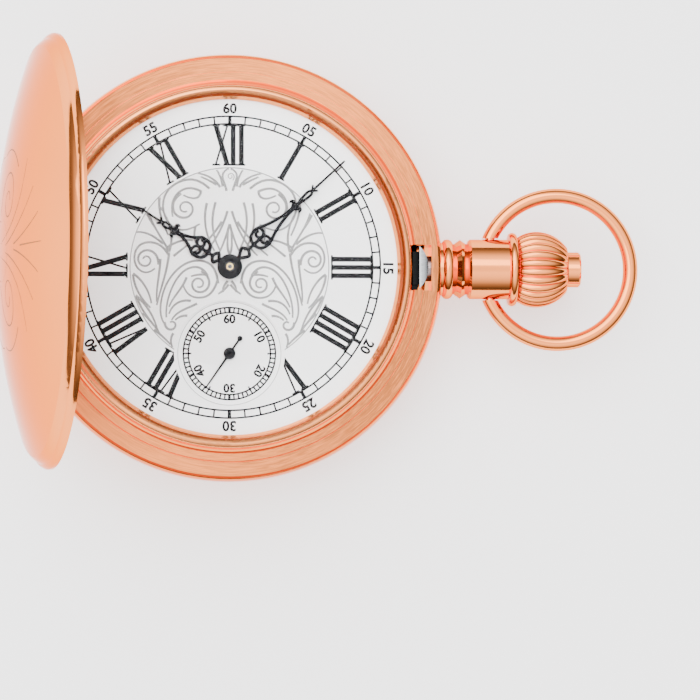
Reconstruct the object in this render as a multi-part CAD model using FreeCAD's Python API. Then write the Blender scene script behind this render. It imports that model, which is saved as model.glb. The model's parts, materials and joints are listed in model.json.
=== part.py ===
"""Hunter pocket watch with a crown-button lid release, small seconds and a hand-wound movement.

Frame, millimetres: the case lies on its back on z = 0, centred on the z axis. +Z points out of the
dial, +X points along the pendant (3 o'clock), +Y points to 12 o'clock. The lid stands open on its
hinge at -X. Heights hang from the lid's seat, so a thicker case keeps its movement under the dial.
"""
import FreeCAD, Part
import math
import os

V = FreeCAD.Vector
UP = V(0, 0, 1)
ALONG_X = V(1, 0, 0)
ALONG_Y = V(0, 1, 0)

# ---- driving sizes of the case
CASE_R = 24.5
MIDDLE_HEIGHT = 5.4
BACK_DEPTH = 4.0
BACK_FLAT_R = 14.0
SHEET = 0.6
RIM_CHAMFER = 0.35
RIM_CREST = 0.25
OUTER_BAND = 1.6
LEDGE_RISE = 0.6
LEDGE_BAND = 1.2
BEZEL_GROOVE = 0.25
POCKET_WALL = 1.9
GAP = 0.15
FIT = 0.05

# ---- lid
LID_DEPTH = 5.5
LID_INSET = 0.25
LID_BEAD = 0.9
LID_LIP = 0.35
LID_LIP_WIDTH = 1.15
LID_WALL = 0.5
LID_SHOULDER = 1.75
LID_EDGE = 1.35
LID_OPEN_DEG = 81.0
HINGE_R = 0.85
HINGE_PIN_R = 0.4
HINGE_LENGTH = 11.0

# ---- bezel, crystal, dial
BEZEL_BAND = 1.65
BEZEL_HEIGHT = 1.85
CRYSTAL_THICK = 0.9
CRYSTAL_DOME = 0.9
DIAL_THICK = 0.4
DIAL_OVERLAP = 0.15
SUBDIAL_R = 6.1
SUBDIAL_DEPTH = 0.18
SECONDS_OFFSET = 9.89

# ---- pendant, bow, crown
PENDANT_R = 3.45
PENDANT_ROOT_R = 2.88
BEAD_LENGTH = 1.2
RIDGE_LENGTH = 1.8
BARREL_LENGTH = 4.7
COLLAR_R = 4.25
COLLAR_LENGTH = 0.85
CROWN_R = 4.35
CROWN_END_R = 2.6
CROWN_LENGTH = 5.8
CROWN_FLUTES = 24
CROWN_PULL = 1.2
BUTTON_R = 2.02
BUTTON_STANDOUT = 1.55
BUTTON_TRAVEL = 0.7
NOSE_HALF = 2.4
NOSE_CROWN = 1.2
BOW_R = 8.53
BOW_WIRE_R = 0.85
BOW_PIN_R = 0.55
BOW_PIVOT_BACK = 2.95
STEM_R = 0.75
STEM_SQUARE = 1.0
SLEEVE_R = 1.6

# ---- movement
PLATE_R = 18.3
PLATE_THICK = 2.0
UNDER_DIAL = 0.9
TRAIN_SPACE = 2.55
BRIDGE_THICK = 1.2
CENTRE_TEETH = 80
CENTRE_MODULE = 0.16
PINION_TEETH = 10
THIRD_TEETH = 75
THIRD_MODULE = 0.15
FOURTH_TEETH = 70
FOURTH_MODULE = 0.13
ESCAPE_PINION_TEETH = 7
ESCAPE_TEETH = 15
ESCAPE_R = 2.25
BARREL_TEETH = 78
CENTRE_PINION_TEETH = 12
BARREL_MODULE = 0.21
BALANCE_R = 5.0
RATCHET_TEETH = 44
CROWN_WHEEL_TEETH = 28
WINDING_PINION_TEETH = 12
CONTRATE_TEETH = 18
CONTRATE_R = 2.4
ARBOR_R = 0.4
PIVOT_R = 0.14
JEWEL_R = 0.55
SCREW_R = 0.45
SCREW_HEAD_R = 0.9
SCREW_HEAD = 0.4

# ---- hands
HOUR_LENGTH = 11.6
MINUTE_LENGTH = 17.87
SECONDS_LENGTH = 4.87
HAND_THICK = 0.14
HOUR_DEG = 303.1
MINUTE_DEG = 47.2
SECONDS_DEG = 214.6

# ---- heights that follow
Z_SEAT = BACK_DEPTH + MIDDLE_HEIGHT
Z_LEDGE = Z_SEAT + LEDGE_RISE
Z_BEZEL = Z_SEAT - 0.35
Z_FLANGE = Z_BEZEL - 0.65
Z_DIAL_TOP = Z_BEZEL - 0.15
Z_DIAL = Z_DIAL_TOP - DIAL_THICK
Z_PLATE_TOP = Z_DIAL - UNDER_DIAL
Z_PLATE = Z_PLATE_TOP - PLATE_THICK
Z_BRIDGE_TOP = Z_PLATE - TRAIN_SPACE
Z_BRIDGE = Z_BRIDGE_TOP - BRIDGE_THICK
Z_STEM = Z_PLATE + PLATE_THICK / 2
Z_HINGE = Z_SEAT - 0.1
Z_HOUR = Z_DIAL_TOP + 0.35
Z_MINUTE = Z_HOUR + 0.4
Z_SECONDS = Z_DIAL_TOP + 0.1
Z_CRYSTAL = Z_MINUTE + 0.2

# ---- radii and places along the pendant that follow
R_BAND = CASE_R - RIM_CHAMFER - RIM_CREST
R_STEP = R_BAND - OUTER_BAND
R_LEDGE = R_STEP - 0.1
R_GROOVE = R_LEDGE - LEDGE_BAND + 0.1
R_BEZEL = R_GROOVE - BEZEL_GROOVE
R_DIAL_SEEN = R_BEZEL - BEZEL_BAND
R_BORE = R_BEZEL - 0.55
R_POCKET = CASE_R - POCKET_WALL
R_SPRING = (R_BORE + R_POCKET) / 2
R_LID = R_BAND - LID_INSET
R_CATCH_TIP = R_LID - LID_LIP_WIDTH + 0.2
X_BEAD = CASE_R + BEAD_LENGTH
X_RIDGE = X_BEAD + RIDGE_LENGTH
X_BARREL = X_RIDGE + BARREL_LENGTH
X_COLLAR = X_BARREL + COLLAR_LENGTH
X_CROWN = X_COLLAR + 0.1
X_CROWN_END = X_CROWN + CROWN_LENGTH
X_WEB = X_CROWN + 1.4
X_WEB_END = X_WEB + 1.0
X_BUTTON = X_WEB_END + BUTTON_TRAVEL + GAP
X_BUTTON_END = X_CROWN_END + BUTTON_STANDOUT
X_BOW_PIVOT = X_COLLAR - BOW_PIVOT_BACK
BOW_END_Y = PENDANT_R + 0.13
X_BOW = X_BOW_PIVOT + math.sqrt(BOW_R ** 2 - BOW_END_Y ** 2)
X_HINGE = -(R_LID + 0.35)
RING_R = R_BORE - FIT

# ---- train places that follow
CENTRE = (0.0, 0.0)
FOURTH = (0.0, -SECONDS_OFFSET)
THIRD_ARM = (CENTRE_TEETH + PINION_TEETH) * CENTRE_MODULE / 2
FOURTH_ARM = (THIRD_TEETH + PINION_TEETH) * THIRD_MODULE / 2
ESCAPE_ARM = (FOURTH_TEETH + ESCAPE_PINION_TEETH) * FOURTH_MODULE / 2
BARREL_ARM = (BARREL_TEETH + CENTRE_PINION_TEETH) * BARREL_MODULE / 2
THIRD_Y = -(THIRD_ARM ** 2 - FOURTH_ARM ** 2 + SECONDS_OFFSET ** 2) / (2 * SECONDS_OFFSET)
THIRD = (-math.sqrt(THIRD_ARM ** 2 - THIRD_Y ** 2), THIRD_Y)


def offset_place(place, distance, degrees):
    angle = math.radians(degrees)
    return (place[0] + distance * math.cos(angle), place[1] + distance * math.sin(angle))


ESCAPE = offset_place(FOURTH, ESCAPE_ARM, -15)
BALANCE = offset_place(FOURTH, 9.9, 8)
BARREL = offset_place(CENTRE, BARREL_ARM, 75)
LINE_DEG = math.degrees(math.atan2(BALANCE[1] - ESCAPE[1], BALANCE[0] - ESCAPE[0]))
PALLET = offset_place(ESCAPE, 2.7, LINE_DEG)
WINDING = (11.4, 0.0)
MINUTE_WHEEL = offset_place(CENTRE, 2.64, 150)
SETTING = offset_place(MINUTE_WHEEL, 3.1, 60)
TRAIN_FEET = [offset_place(CENTRE, PLATE_R - 2.2, degrees) for degrees in (205, 240, 275)]
BARREL_FEET = [offset_place(CENTRE, PLATE_R - 2.2, degrees) for degrees in (20, 140, 170)]
COCK_FOOT = (15.6, -5.4)
CASE_SCREWS = [offset_place(CENTRE, PLATE_R - 0.4, degrees) for degrees in (112, -60)]
CATCH_DEG = -50.0
LIFT_DEG = 230.0


# ---- helpers
def disc(radius, z0, z1, place=CENTRE):
    return Part.makeCylinder(radius, z1 - z0, V(place[0], place[1], z0), UP)


def ring(outer, inner, z0, z1, place=CENTRE):
    return disc(outer, z0, z1, place).cut(disc(inner, z0 - 1, z1 + 1, place))


def rod_x(radius, x0, x1, y=0.0, z=None):
    return Part.makeCylinder(radius, x1 - x0, V(x0, y, Z_STEM if z is None else z), ALONG_X)


def rod_y(radius, y0, y1, x, z):
    return Part.makeCylinder(radius, y1 - y0, V(x, y0, z), ALONG_Y)


def block(x0, x1, y0, y1, z0, z1):
    return Part.makeBox(x1 - x0, y1 - y0, z1 - z0, V(x0, y0, z0))


def join(first, others):
    return first.fuse(list(others)).removeSplitter()


def turned(points, axis=UP, start=V(0, 0, 0)):
    """A solid turned about the axis; a point is (radius, height) and a triple bends through itself."""
    edges = []
    first = V(points[0][0], 0, points[0][1])
    here = first
    index = 1
    while index < len(points):
        point = points[index]
        if len(point) == 3:
            end = points[index + 1]
            edges.append(Part.Arc(here, V(point[0], 0, point[1]), V(end[0], 0, end[1])).toShape())
            here = V(end[0], 0, end[1])
            index += 2
        else:
            there = V(point[0], 0, point[1])
            edges.append(Part.makeLine(here, there))
            here = there
            index += 1
    edges.append(Part.makeLine(here, first))
    shape = Part.Face(Part.Wire(edges)).revolve(V(0, 0, 0), UP, 360)
    if axis is not UP:
        shape.rotate(V(0, 0, 0), ALONG_Y, 90)
    shape.translate(start)
    return shape


def dome(radius, z_edge, z_top):
    """The middle point of a dome's arc, whose centre is on the axis so that the crown is smooth."""
    rise = z_top - z_edge
    sphere = (radius ** 2 + rise ** 2) / (2 * rise)
    return (radius / 2, z_top - sphere + math.sqrt(sphere ** 2 - radius ** 2 / 4), 0)


def bar(place_a, radius_a, place_b, radius_b, z0, z1):
    """A flat lever outline: two round ends joined by their outer tangents."""
    dx = place_b[0] - place_a[0]
    dy = place_b[1] - place_a[1]
    length = math.hypot(dx, dy)
    lean = math.acos((radius_a - radius_b) / length)
    heading = math.atan2(dy, dx)
    corners = []
    for place, radius, side in ((place_a, radius_a, 1), (place_b, radius_b, 1),
                                (place_b, radius_b, -1), (place_a, radius_a, -1)):
        angle = heading + side * lean
        corners.append(V(place[0] + radius * math.cos(angle), place[1] + radius * math.sin(angle), z0))
    web = Part.Face(Part.makePolygon(corners + corners[:1])).extrude(V(0, 0, z1 - z0))
    return join(disc(radius_a, z0, z1, place_a), [disc(radius_b, z0, z1, place_b), web])


def arc_strip(inner, outer, start_deg, end_deg, z0, z1):
    strip = Part.makeCylinder(outer, z1 - z0, V(0, 0, z0), UP, end_deg - start_deg)
    strip = strip.cut(disc(inner, z0 - 1, z1 + 1))
    strip.rotate(V(0, 0, 0), UP, start_deg)
    return strip


def toothed(teeth, module, phase, z0, z1, place, addendum=0.9):
    """A straight-sided gear blank with narrow teeth, so that it runs with play."""
    pitch_r = teeth * module / 2
    step = 2 * math.pi / teeth
    corners = []
    for tooth in range(teeth):
        middle = phase + tooth * step
        for radius, width in ((pitch_r - 1.25 * module, -0.27), (pitch_r + addendum * module, -0.1),
                              (pitch_r + addendum * module, 0.1), (pitch_r - 1.25 * module, 0.27)):
            angle = middle + width * step
            corners.append(V(place[0] + radius * math.cos(angle), place[1] + radius * math.sin(angle), z0))
    return Part.Face(Part.makePolygon(corners + corners[:1])).extrude(V(0, 0, z1 - z0))


def meshed_phase(phase_a, teeth_a, place_a, teeth_b, place_b):
    """The phase that sets gear b's gaps on gear a's teeth."""
    heading = math.atan2(place_b[1] - place_a[1], place_b[0] - place_a[0])
    share = (heading - phase_a) * teeth_a / (2 * math.pi)
    return heading + math.pi - (0.5 - share) * 2 * math.pi / teeth_b


def wheel(teeth, module, phase, z0, z1, place, hub_r, spokes=4):
    """A crossed-out wheel: toothed rim, hub and spokes."""
    blank = toothed(teeth, module, phase, z0, z1, place)
    rim_r = teeth * module / 2 - 1.25 * module - 0.45
    window = ring(rim_r, hub_r + 0.35, z0 - 1, z1 + 1, place)
    for spoke in range(spokes):
        arm = block(0, rim_r + 1, -0.3, 0.3, z0 - 2, z1 + 2)
        arm.rotate(V(0, 0, 0), UP, spoke * 360 / spokes)
        arm.translate(V(place[0], place[1], 0))
        window = window.cut(arm)
    return blank.cut(window)


def arbor(place, radius, z0, z1, pivot_r, low_pivot, high_pivot):
    body = disc(radius, z0, z1, place)
    return join(body, [disc(pivot_r, z0 - low_pivot, z0, place), disc(pivot_r, z1, z1 + high_pivot, place)])


def screws(places, z_head, z_tip, head_r=SCREW_HEAD_R, shank_r=SCREW_R):
    """Slotted screws driven from the back; the head's outer face is at z_head."""
    made = []
    for place in places:
        screw = join(disc(head_r, z_head, z_head + SCREW_HEAD, place),
                     [disc(shank_r, z_head + SCREW_HEAD, z_tip, place)])
        slot = block(place[0] - head_r, place[0] + head_r, place[1] - 0.1, place[1] + 0.1,
                     z_head - 1, z_head + 0.18)
        made.append(screw.cut(slot))
    return Part.makeCompound(made)


def drilled(shape, places, radius, z0=-5.0, z1=40.0):
    for place in places:
        shape = shape.cut(disc(radius, z0, z1, place))
    return shape


def jewels(places, z0, z1):
    return Part.makeCompound([ring(JEWEL_R, PIVOT_R + 0.03, z0, z1, place) for place in places])


# ---- case
def knuckles(spans):
    return [rod_y(HINGE_R, low, high, X_HINGE, Z_HINGE) for low, high in spans]


def hinge_spans():
    third = HINGE_LENGTH / 6
    return [(-HINGE_LENGTH / 2, -third), (third, HINGE_LENGTH / 2)], [(-third + 0.05, third - 0.05)]


def case_middle():
    low_r = CASE_R - 0.75
    shape = turned([
        (R_POCKET, BACK_DEPTH), (low_r, BACK_DEPTH), (CASE_R - 0.35, BACK_DEPTH + 0.35),
        (CASE_R, (BACK_DEPTH + Z_SEAT) / 2, 0), (CASE_R - RIM_CREST, Z_SEAT + 0.1),
        (CASE_R - RIM_CREST - 0.1, Z_SEAT + 0.2), (R_BAND, Z_SEAT), (R_STEP, Z_SEAT),
        (R_LEDGE, Z_LEDGE), (R_GROOVE + 0.25, Z_LEDGE), (R_GROOVE, Z_LEDGE - 0.15),
        (R_GROOVE, Z_BEZEL), (R_BORE, Z_BEZEL), (R_BORE, Z_FLANGE), (R_POCKET, Z_FLANGE)])
    case_spans, lid_spans = hinge_spans()
    fixed = []
    for knuckle in knuckles(case_spans):
        fixed.append(knuckle.cut(disc(R_BAND, Z_SEAT, Z_SEAT + 5)))
    shape = join(shape, fixed)
    for low, high in lid_spans:
        shape = shape.cut(rod_y(HINGE_R + 0.12, low - 0.07, high + 0.07, X_HINGE, Z_HINGE))
        shape = shape.cut(block(X_HINGE - 2, X_HINGE + 1, low - 0.07, high + 0.07, Z_HINGE, Z_SEAT + 2))
    shape = shape.cut(rod_y(HINGE_PIN_R, -HINGE_LENGTH, HINGE_LENGTH, X_HINGE, Z_HINGE))
    window = block(R_BEZEL - 0.2, R_CATCH_TIP + 0.4, -2.6, 2.6, Z_FLANGE - 1, Z_LEDGE + 2)
    shape = shape.cut(window)
    shape = shape.cut(rod_x(SLEEVE_R + FIT, R_POCKET - 1, CASE_R + 2))
    shape = shape.cut(block(-R_POCKET, -R_POCKET + 0.9, -1.3, 1.3, Z_FLANGE - 1, Z_SEAT + 2))
    for degrees in (CATCH_DEG, LIFT_DEG):
        place = offset_place(CENTRE, R_SPRING, degrees)
        shape = shape.cut(disc(ARBOR_R, Z_FLANGE - 1, Z_FLANGE + 0.75, place))
    return shape


def front_lid():
    """The lid is drawn shut and turned open about the hinge."""
    lip_r = R_LID - LID_LIP_WIDTH
    wall_r = R_LID - 0.55
    top = Z_SEAT + LID_DEPTH
    shoulder_r = R_LID - LID_EDGE
    shoulder_z = Z_SEAT + LID_SHOULDER
    shape = turned([
        (lip_r, Z_SEAT), (R_LID, Z_SEAT), (R_LID, Z_SEAT + LID_LIP),
        (R_LID - 0.05, Z_SEAT + LID_BEAD / 2, 0), (R_LID - 0.55, Z_SEAT + LID_BEAD),
        (R_LID - 0.91, Z_SEAT + 1.38, 0), (shoulder_r, shoulder_z),
        dome(shoulder_r, shoulder_z, top), (0, top), (0, top - LID_WALL),
        dome(shoulder_r - 0.2, shoulder_z - LID_WALL, top - LID_WALL),
        (shoulder_r - 0.2, shoulder_z - LID_WALL), (wall_r - 0.66, Z_SEAT + 1.11, 0),
        (wall_r - 0.35, Z_SEAT + LID_BEAD), (wall_r - 0.25, Z_SEAT + LID_LIP), (lip_r, Z_SEAT + LID_LIP)])
    case_spans, lid_spans = hinge_spans()
    for low, high in case_spans:
        shape = shape.cut(rod_y(HINGE_R + 0.12, low - 0.3, high + 0.07, X_HINGE, Z_HINGE))
    shape = join(shape, knuckles(lid_spans))
    shape = shape.cut(rod_y(HINGE_PIN_R + 0.03, -HINGE_LENGTH, HINGE_LENGTH, X_HINGE, Z_HINGE))
    shape.rotate(V(X_HINGE, 0, Z_HINGE), ALONG_Y, -LID_OPEN_DEG)
    return shape


def hinge_pin():
    return rod_y(HINGE_PIN_R, -HINGE_LENGTH / 2, HINGE_LENGTH / 2, X_HINGE, Z_HINGE)


def case_back():
    outer = CASE_R - 0.75
    snap = R_POCKET - FIT
    return turned([
        (0, 0), (BACK_FLAT_R, 0), (BACK_FLAT_R + 5.4, 0.75, 0), (outer - 1.1, 2.6),
        (outer - 0.5, 3.1), (outer, 3.45, 0), (outer - 0.1, BACK_DEPTH), (snap, BACK_DEPTH),
        (snap, BACK_DEPTH + 0.6), (snap - SHEET, BACK_DEPTH + 0.6), (snap - SHEET, 3.4),
        (outer - 2.2, 2.75), (BACK_FLAT_R + 5.0, 0.75 + SHEET, 0), (BACK_FLAT_R, SHEET), (0, SHEET)])


def bezel():
    crystal_r = R_DIAL_SEEN + 0.58
    crest = Z_BEZEL + BEZEL_HEIGHT
    return turned([
        (R_DIAL_SEEN, Z_DIAL_TOP), (R_BORE - FIT, Z_DIAL_TOP), (R_BORE - FIT, Z_BEZEL),
        (R_BEZEL, Z_BEZEL), (R_BEZEL, crest - 0.8), (R_BEZEL - 0.25, crest - 0.2, 0),
        (R_BEZEL - 0.7, crest), (crystal_r + 0.15, crest - 0.12, 0), (crystal_r, crest - 0.25),
        (crystal_r, Z_CRYSTAL), (R_DIAL_SEEN + 0.3, Z_CRYSTAL), (R_DIAL_SEEN, Z_DIAL_TOP + 0.3)])


def crystal():
    edge = R_DIAL_SEEN + 0.57
    top = Z_CRYSTAL + CRYSTAL_THICK
    return turned([
        (0, Z_CRYSTAL + CRYSTAL_DOME), dome(edge - 0.4, Z_CRYSTAL, Z_CRYSTAL + CRYSTAL_DOME),
        (edge - 0.4, Z_CRYSTAL), (edge, Z_CRYSTAL), (edge, top - 0.35), (edge - 0.2, top),
        dome(edge - 0.2, top, top + CRYSTAL_DOME), (0, top + CRYSTAL_DOME)])


def pendant():
    """Bead, sharp ridge, plain barrel and collar in one turning, bored for the push sleeve."""
    ridge = X_BEAD + RIDGE_LENGTH / 2
    shape = turned([
        (0, CASE_R - 1.2), (PENDANT_R - 0.5, CASE_R - 1.2), (PENDANT_R - 0.4, CASE_R),
        (PENDANT_R, CASE_R + 0.5 * BEAD_LENGTH, 0), (PENDANT_ROOT_R + 0.2, X_BEAD),
        (PENDANT_ROOT_R, X_BEAD + 0.15), (PENDANT_R - 0.05, ridge), (PENDANT_ROOT_R, X_RIDGE - 0.15),
        (PENDANT_R - 0.2, X_RIDGE), (PENDANT_R, X_RIDGE + 0.25), (PENDANT_R, X_BARREL - 0.1),
        (COLLAR_R - 0.2, X_BARREL), (COLLAR_R, X_BARREL + COLLAR_LENGTH / 2, 0),
        (COLLAR_R - 0.2, X_COLLAR), (0, X_COLLAR)], ALONG_X, V(0, 0, Z_STEM))
    shape = shape.cut(rod_x(SLEEVE_R + FIT, CASE_R - 3, X_COLLAR + 1))
    shape = shape.cut(case_middle_outside())
    for side in (-1, 1):
        low = min(side * (PENDANT_R - 1.2), side * (PENDANT_R + 1))
        shape = shape.cut(rod_y(BOW_PIN_R + FIT, low, low + 2.2, X_BOW_PIVOT, Z_STEM))
    return shape


def case_middle_outside():
    """The case band's barrel shape, filled, that the pendant's foot is fitted to."""
    return turned([
        (0, BACK_DEPTH - 3), (CASE_R - 0.75 + FIT, BACK_DEPTH - 3), (CASE_R - 0.75 + FIT, BACK_DEPTH),
        (CASE_R - 0.35, BACK_DEPTH + 0.35), (CASE_R, (BACK_DEPTH + Z_SEAT) / 2, 0),
        (CASE_R - RIM_CREST, Z_SEAT + 0.1), (CASE_R - RIM_CREST - 0.1, Z_SEAT + 0.2),
        (CASE_R - RIM_CREST - 0.1, Z_SEAT + 3), (0, Z_SEAT + 3)])


def bow():
    shape = Part.makeTorus(BOW_R, BOW_WIRE_R, V(X_BOW, 0, Z_STEM), UP)
    shape = shape.cut(block(X_BOW - BOW_R - 2, X_BOW_PIVOT + 2, -BOW_END_Y, BOW_END_Y,
                            Z_STEM - 2, Z_STEM + 2))
    pins = []
    for side in (-1, 1):
        low = min(side * (PENDANT_R - 1.05), side * (BOW_END_Y + 0.2))
        high = max(side * (PENDANT_R - 1.05), side * (BOW_END_Y + 0.2))
        pins.append(rod_y(BOW_PIN_R, low, high, X_BOW_PIVOT, Z_STEM))
    return join(shape, pins)


def crown():
    """Fluted onion crown with a web that holds the stem and lets the sleeve's prongs through."""
    shape = turned([
        (0, X_CROWN), (CROWN_R - 0.9, X_CROWN), (CROWN_R - 0.25, X_CROWN + 0.35, 0),
        (CROWN_R, X_CROWN + 1.3), (CROWN_R - 0.1, X_CROWN + 3.0, 0),
        (CROWN_END_R + 0.55, X_CROWN_END - 0.6), (CROWN_END_R, X_CROWN_END),
        (0, X_CROWN_END)], ALONG_X, V(0, 0, Z_STEM))
    for flute in range(CROWN_FLUTES):
        groove = Part.makeCylinder(0.42, CROWN_LENGTH + 1, V(X_CROWN - 0.5, 0, CROWN_R + 0.12), ALONG_X)
        groove.rotate(V(0, 0, 0), ALONG_X, (flute + 0.5) * 360 / CROWN_FLUTES)
        groove.translate(V(0, 0, Z_STEM))
        shape = shape.cut(groove)
    shape = shape.cut(rod_x(SLEEVE_R + 0.9, X_CROWN - 1, X_WEB))
    shape = shape.cut(rod_x(BUTTON_R + FIT, X_WEB_END, X_CROWN_END + 1))
    shape = shape.cut(rod_x(STEM_R, X_WEB - 1, X_WEB_END + 1))
    for side in (-1, 1):
        shape = shape.cut(prong(side, FIT, X_WEB - 0.5, X_WEB_END + 0.5))
    return shape


def prong(side, grow, x0, x1):
    middle = side * (STEM_R + 0.55)
    return block(x0, x1, -0.6 - grow, 0.6 + grow, Z_STEM + middle - 0.25 - grow, Z_STEM + middle + 0.25 + grow)


def crown_button():
    shape = rod_x(BUTTON_R, X_BUTTON, X_BUTTON_END)
    rim = [edge for edge in shape.Edges if abs(edge.CenterOfMass.x - X_BUTTON_END) < 1e-6]
    return shape.makeChamfer(0.2, rim[:1])


def push_sleeve():
    """A tube around the stem; two prongs carry the button's push through the crown's web."""
    start = R_CATCH_TIP - 0.5
    tube = rod_x(SLEEVE_R, start, X_WEB - BUTTON_TRAVEL - GAP)
    prongs = [prong(side, 0, X_WEB - BUTTON_TRAVEL - GAP - 0.5, X_BUTTON) for side in (-1, 1)]
    return join(tube, prongs).cut(rod_x(STEM_R + FIT, start - 1, X_WEB))


def winding_stem():
    groove_x = WINDING[0] + 4.0
    shape = join(rod_x(STEM_R, WINDING[0] + 2.0, X_WEB_END), [
        block(WINDING[0] - 2.0, WINDING[0] + 2.1, -STEM_SQUARE / 2, STEM_SQUARE / 2,
              Z_STEM - STEM_SQUARE / 2, Z_STEM + STEM_SQUARE / 2),
        rod_x(ARBOR_R, WINDING[0] - 3.9, WINDING[0] - 1.9)])
    groove = rod_x(STEM_R + 1, groove_x, groove_x + 0.9).cut(rod_x(STEM_R - 0.25, groove_x - 1, groove_x + 2))
    return shape.cut(groove)


def catch_spring():
    """Steel lock spring: an arm on its screw, a block round the stem and the nose in the window."""
    eye = offset_place(CENTRE, R_SPRING, CATCH_DEG)
    face = R_CATCH_TIP - 0.6
    body = block(R_BORE + 0.75, face, -1.9, 1.9, Z_STEM - 1.4, Z_FLANGE - 0.05)
    neck = block(R_BORE + 1.35, face, -1.9, 1.9, Z_FLANGE - 0.1, Z_SEAT + LID_LIP + 0.15)
    nose = block(R_BORE + 1.35, R_CATCH_TIP + 1, -NOSE_HALF, NOSE_HALF, Z_SEAT + LID_LIP + 0.1, Z_LEDGE + 1)
    reach = R_CATCH_TIP - R_BORE - 1.35
    bow_r = (reach ** 2 + NOSE_HALF ** 2) / (2 * reach)
    nose = nose.common(disc(bow_r, 0, 40, (R_CATCH_TIP - bow_r, 0)))
    nose = nose.common(rod_y(NOSE_CROWN, -NOSE_HALF, NOSE_HALF, R_BORE + 1.6, Z_LEDGE + 0.3 - NOSE_CROWN))
    arm = arc_strip(R_SPRING - 0.35, R_SPRING + 0.35, CATCH_DEG, -3, Z_STEM - 1.0, Z_STEM + 1.2)
    shape = join(disc(0.9, Z_STEM - 1.0, Z_STEM + 1.2, eye), [arm, body, neck, nose])
    shape = shape.cut(disc(ARBOR_R + FIT, 0, 40, eye))
    return shape.cut(rod_x(STEM_R + 0.42, R_BORE, face + 1))


def spring_screws():
    places = [offset_place(CENTRE, R_SPRING, degrees) for degrees in (CATCH_DEG, LIFT_DEG)]
    return screws(places, Z_STEM - 1.6, Z_FLANGE + 0.7, shank_r=ARBOR_R)


def lift_spring():
    """Opening spring: an arm on its screw with a tongue under the lid's heel."""
    eye = offset_place(CENTRE, R_SPRING, LIFT_DEG)
    arm = arc_strip(R_SPRING - 0.35, R_SPRING + 0.35, 177, LIFT_DEG, Z_STEM - 1.0, Z_STEM + 1.2)
    tongue = block(-R_POCKET + 0.15, -R_POCKET + 0.75, -1.1, 1.1, Z_STEM - 1.0, Z_SEAT - 0.1)
    heel = block(-R_POCKET + 0.15, -R_SPRING + 0.2, -1.1, 1.1, Z_STEM - 1.0, Z_STEM + 1.2)
    shape = join(disc(0.9, Z_STEM - 1.0, Z_STEM + 1.2, eye), [arm, heel, tongue])
    return shape.cut(disc(ARBOR_R, 0, 40, eye))


# ---- movement frame
def movement_ring():
    shape = ring(RING_R, PLATE_R + 0.1, Z_PLATE - 0.6, Z_DIAL)
    return shape.cut(rod_x(STEM_R + 0.3, PLATE_R - 1, RING_R + 1))


def main_plate():
    shape = disc(PLATE_R, Z_PLATE, Z_PLATE_TOP)
    shape = shape.cut(block(WINDING[0] - 2.4, WINDING[0] + 4.2, -2.2, 2.2, Z_PLATE - 1, Z_PLATE_TOP + 1))
    shape = shape.cut(rod_x(ARBOR_R + FIT, WINDING[0] - 4.2, WINDING[0] - 2.0))
    shape = shape.cut(rod_x(STEM_R + FIT, WINDING[0] + 4, PLATE_R + 1))
    slot = block(WINDING[0] + 4.1, WINDING[0] + 6.1, -0.6, 0.6, Z_STEM, Z_PLATE_TOP + 1)
    shape = shape.cut(slot)
    shape = drilled(shape, [FOURTH, THIRD, ESCAPE, BALANCE, PALLET], JEWEL_R)
    shape = drilled(shape, [CENTRE], 0.5 + FIT)
    shape = drilled(shape, [BARREL], 1.0 + FIT, z1=Z_PLATE + 0.8)
    shape = drilled(shape, TRAIN_FEET + BARREL_FEET + [COCK_FOOT] + CASE_SCREWS, SCREW_R,
                    z1=Z_PLATE_TOP - 0.5)
    shape = drilled(shape, pallet_feet(), 0.3, z1=Z_PLATE + 1.0)
    return drilled(shape, [dial_foot(1), dial_foot(-1)], 0.35, z0=Z_PLATE_TOP - 1.2)


def dial_foot(side):
    return offset_place(CENTRE, PLATE_R - 3.0, 90 + side * 65)


def feet(places):
    return [disc(1.25, Z_BRIDGE_TOP, Z_PLATE, place) for place in places]


def barrel_bridge():
    shape = disc(PLATE_R - 0.9, Z_BRIDGE, Z_BRIDGE_TOP)
    shape = shape.common(block(-30, 30, -1.7, 30, 0, 40))
    shape = join(shape, feet(BARREL_FEET))
    shape = drilled(shape, [BARREL], 1.0 + FIT)
    shape = drilled(shape, [WINDING], 0.8 + FIT)
    shape = drilled(shape, [CENTRE], 0.3 + FIT)
    shape = drilled(shape, [click_place()], ARBOR_R, z1=Z_BRIDGE + 0.8)
    shape = drilled(shape, [click_spring_place()], 0.3, z1=Z_BRIDGE + 0.8)
    return drilled(shape, BARREL_FEET, SCREW_R)


def train_bridge():
    shape = disc(PLATE_R - 0.9, Z_BRIDGE, Z_BRIDGE_TOP)
    shape = shape.common(block(-30, 6.2, -30, -1.9, 0, 40))
    shape = shape.cut(disc(BALANCE_R, 0, 40, BALANCE))
    shape = join(shape, feet(TRAIN_FEET))
    shape = drilled(shape, [THIRD, FOURTH, ESCAPE], JEWEL_R)
    return drilled(shape, TRAIN_FEET, SCREW_R)


def balance_cock():
    shape = bar(COCK_FOOT, 1.5, BALANCE, 2.2, Z_BRIDGE, Z_BRIDGE_TOP)
    shape = join(shape, feet([COCK_FOOT]))
    return drilled(drilled(shape, [BALANCE], JEWEL_R), [COCK_FOOT], SCREW_R)


def pallet_feet():
    return [offset_place(PALLET, 2.1, LINE_DEG + side * 90) for side in (-1, 1)]


def pallet_bridge():
    first, second = pallet_feet()
    top = Z_PLATE - 0.75
    shape = bar(first, 0.55, second, 0.55, top - 0.4, top)
    shape = join(shape, [disc(0.55, top, Z_PLATE, foot) for foot in (first, second)])
    return drilled(drilled(shape, [PALLET], PIVOT_R + 0.03), [first, second], 0.3)


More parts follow.
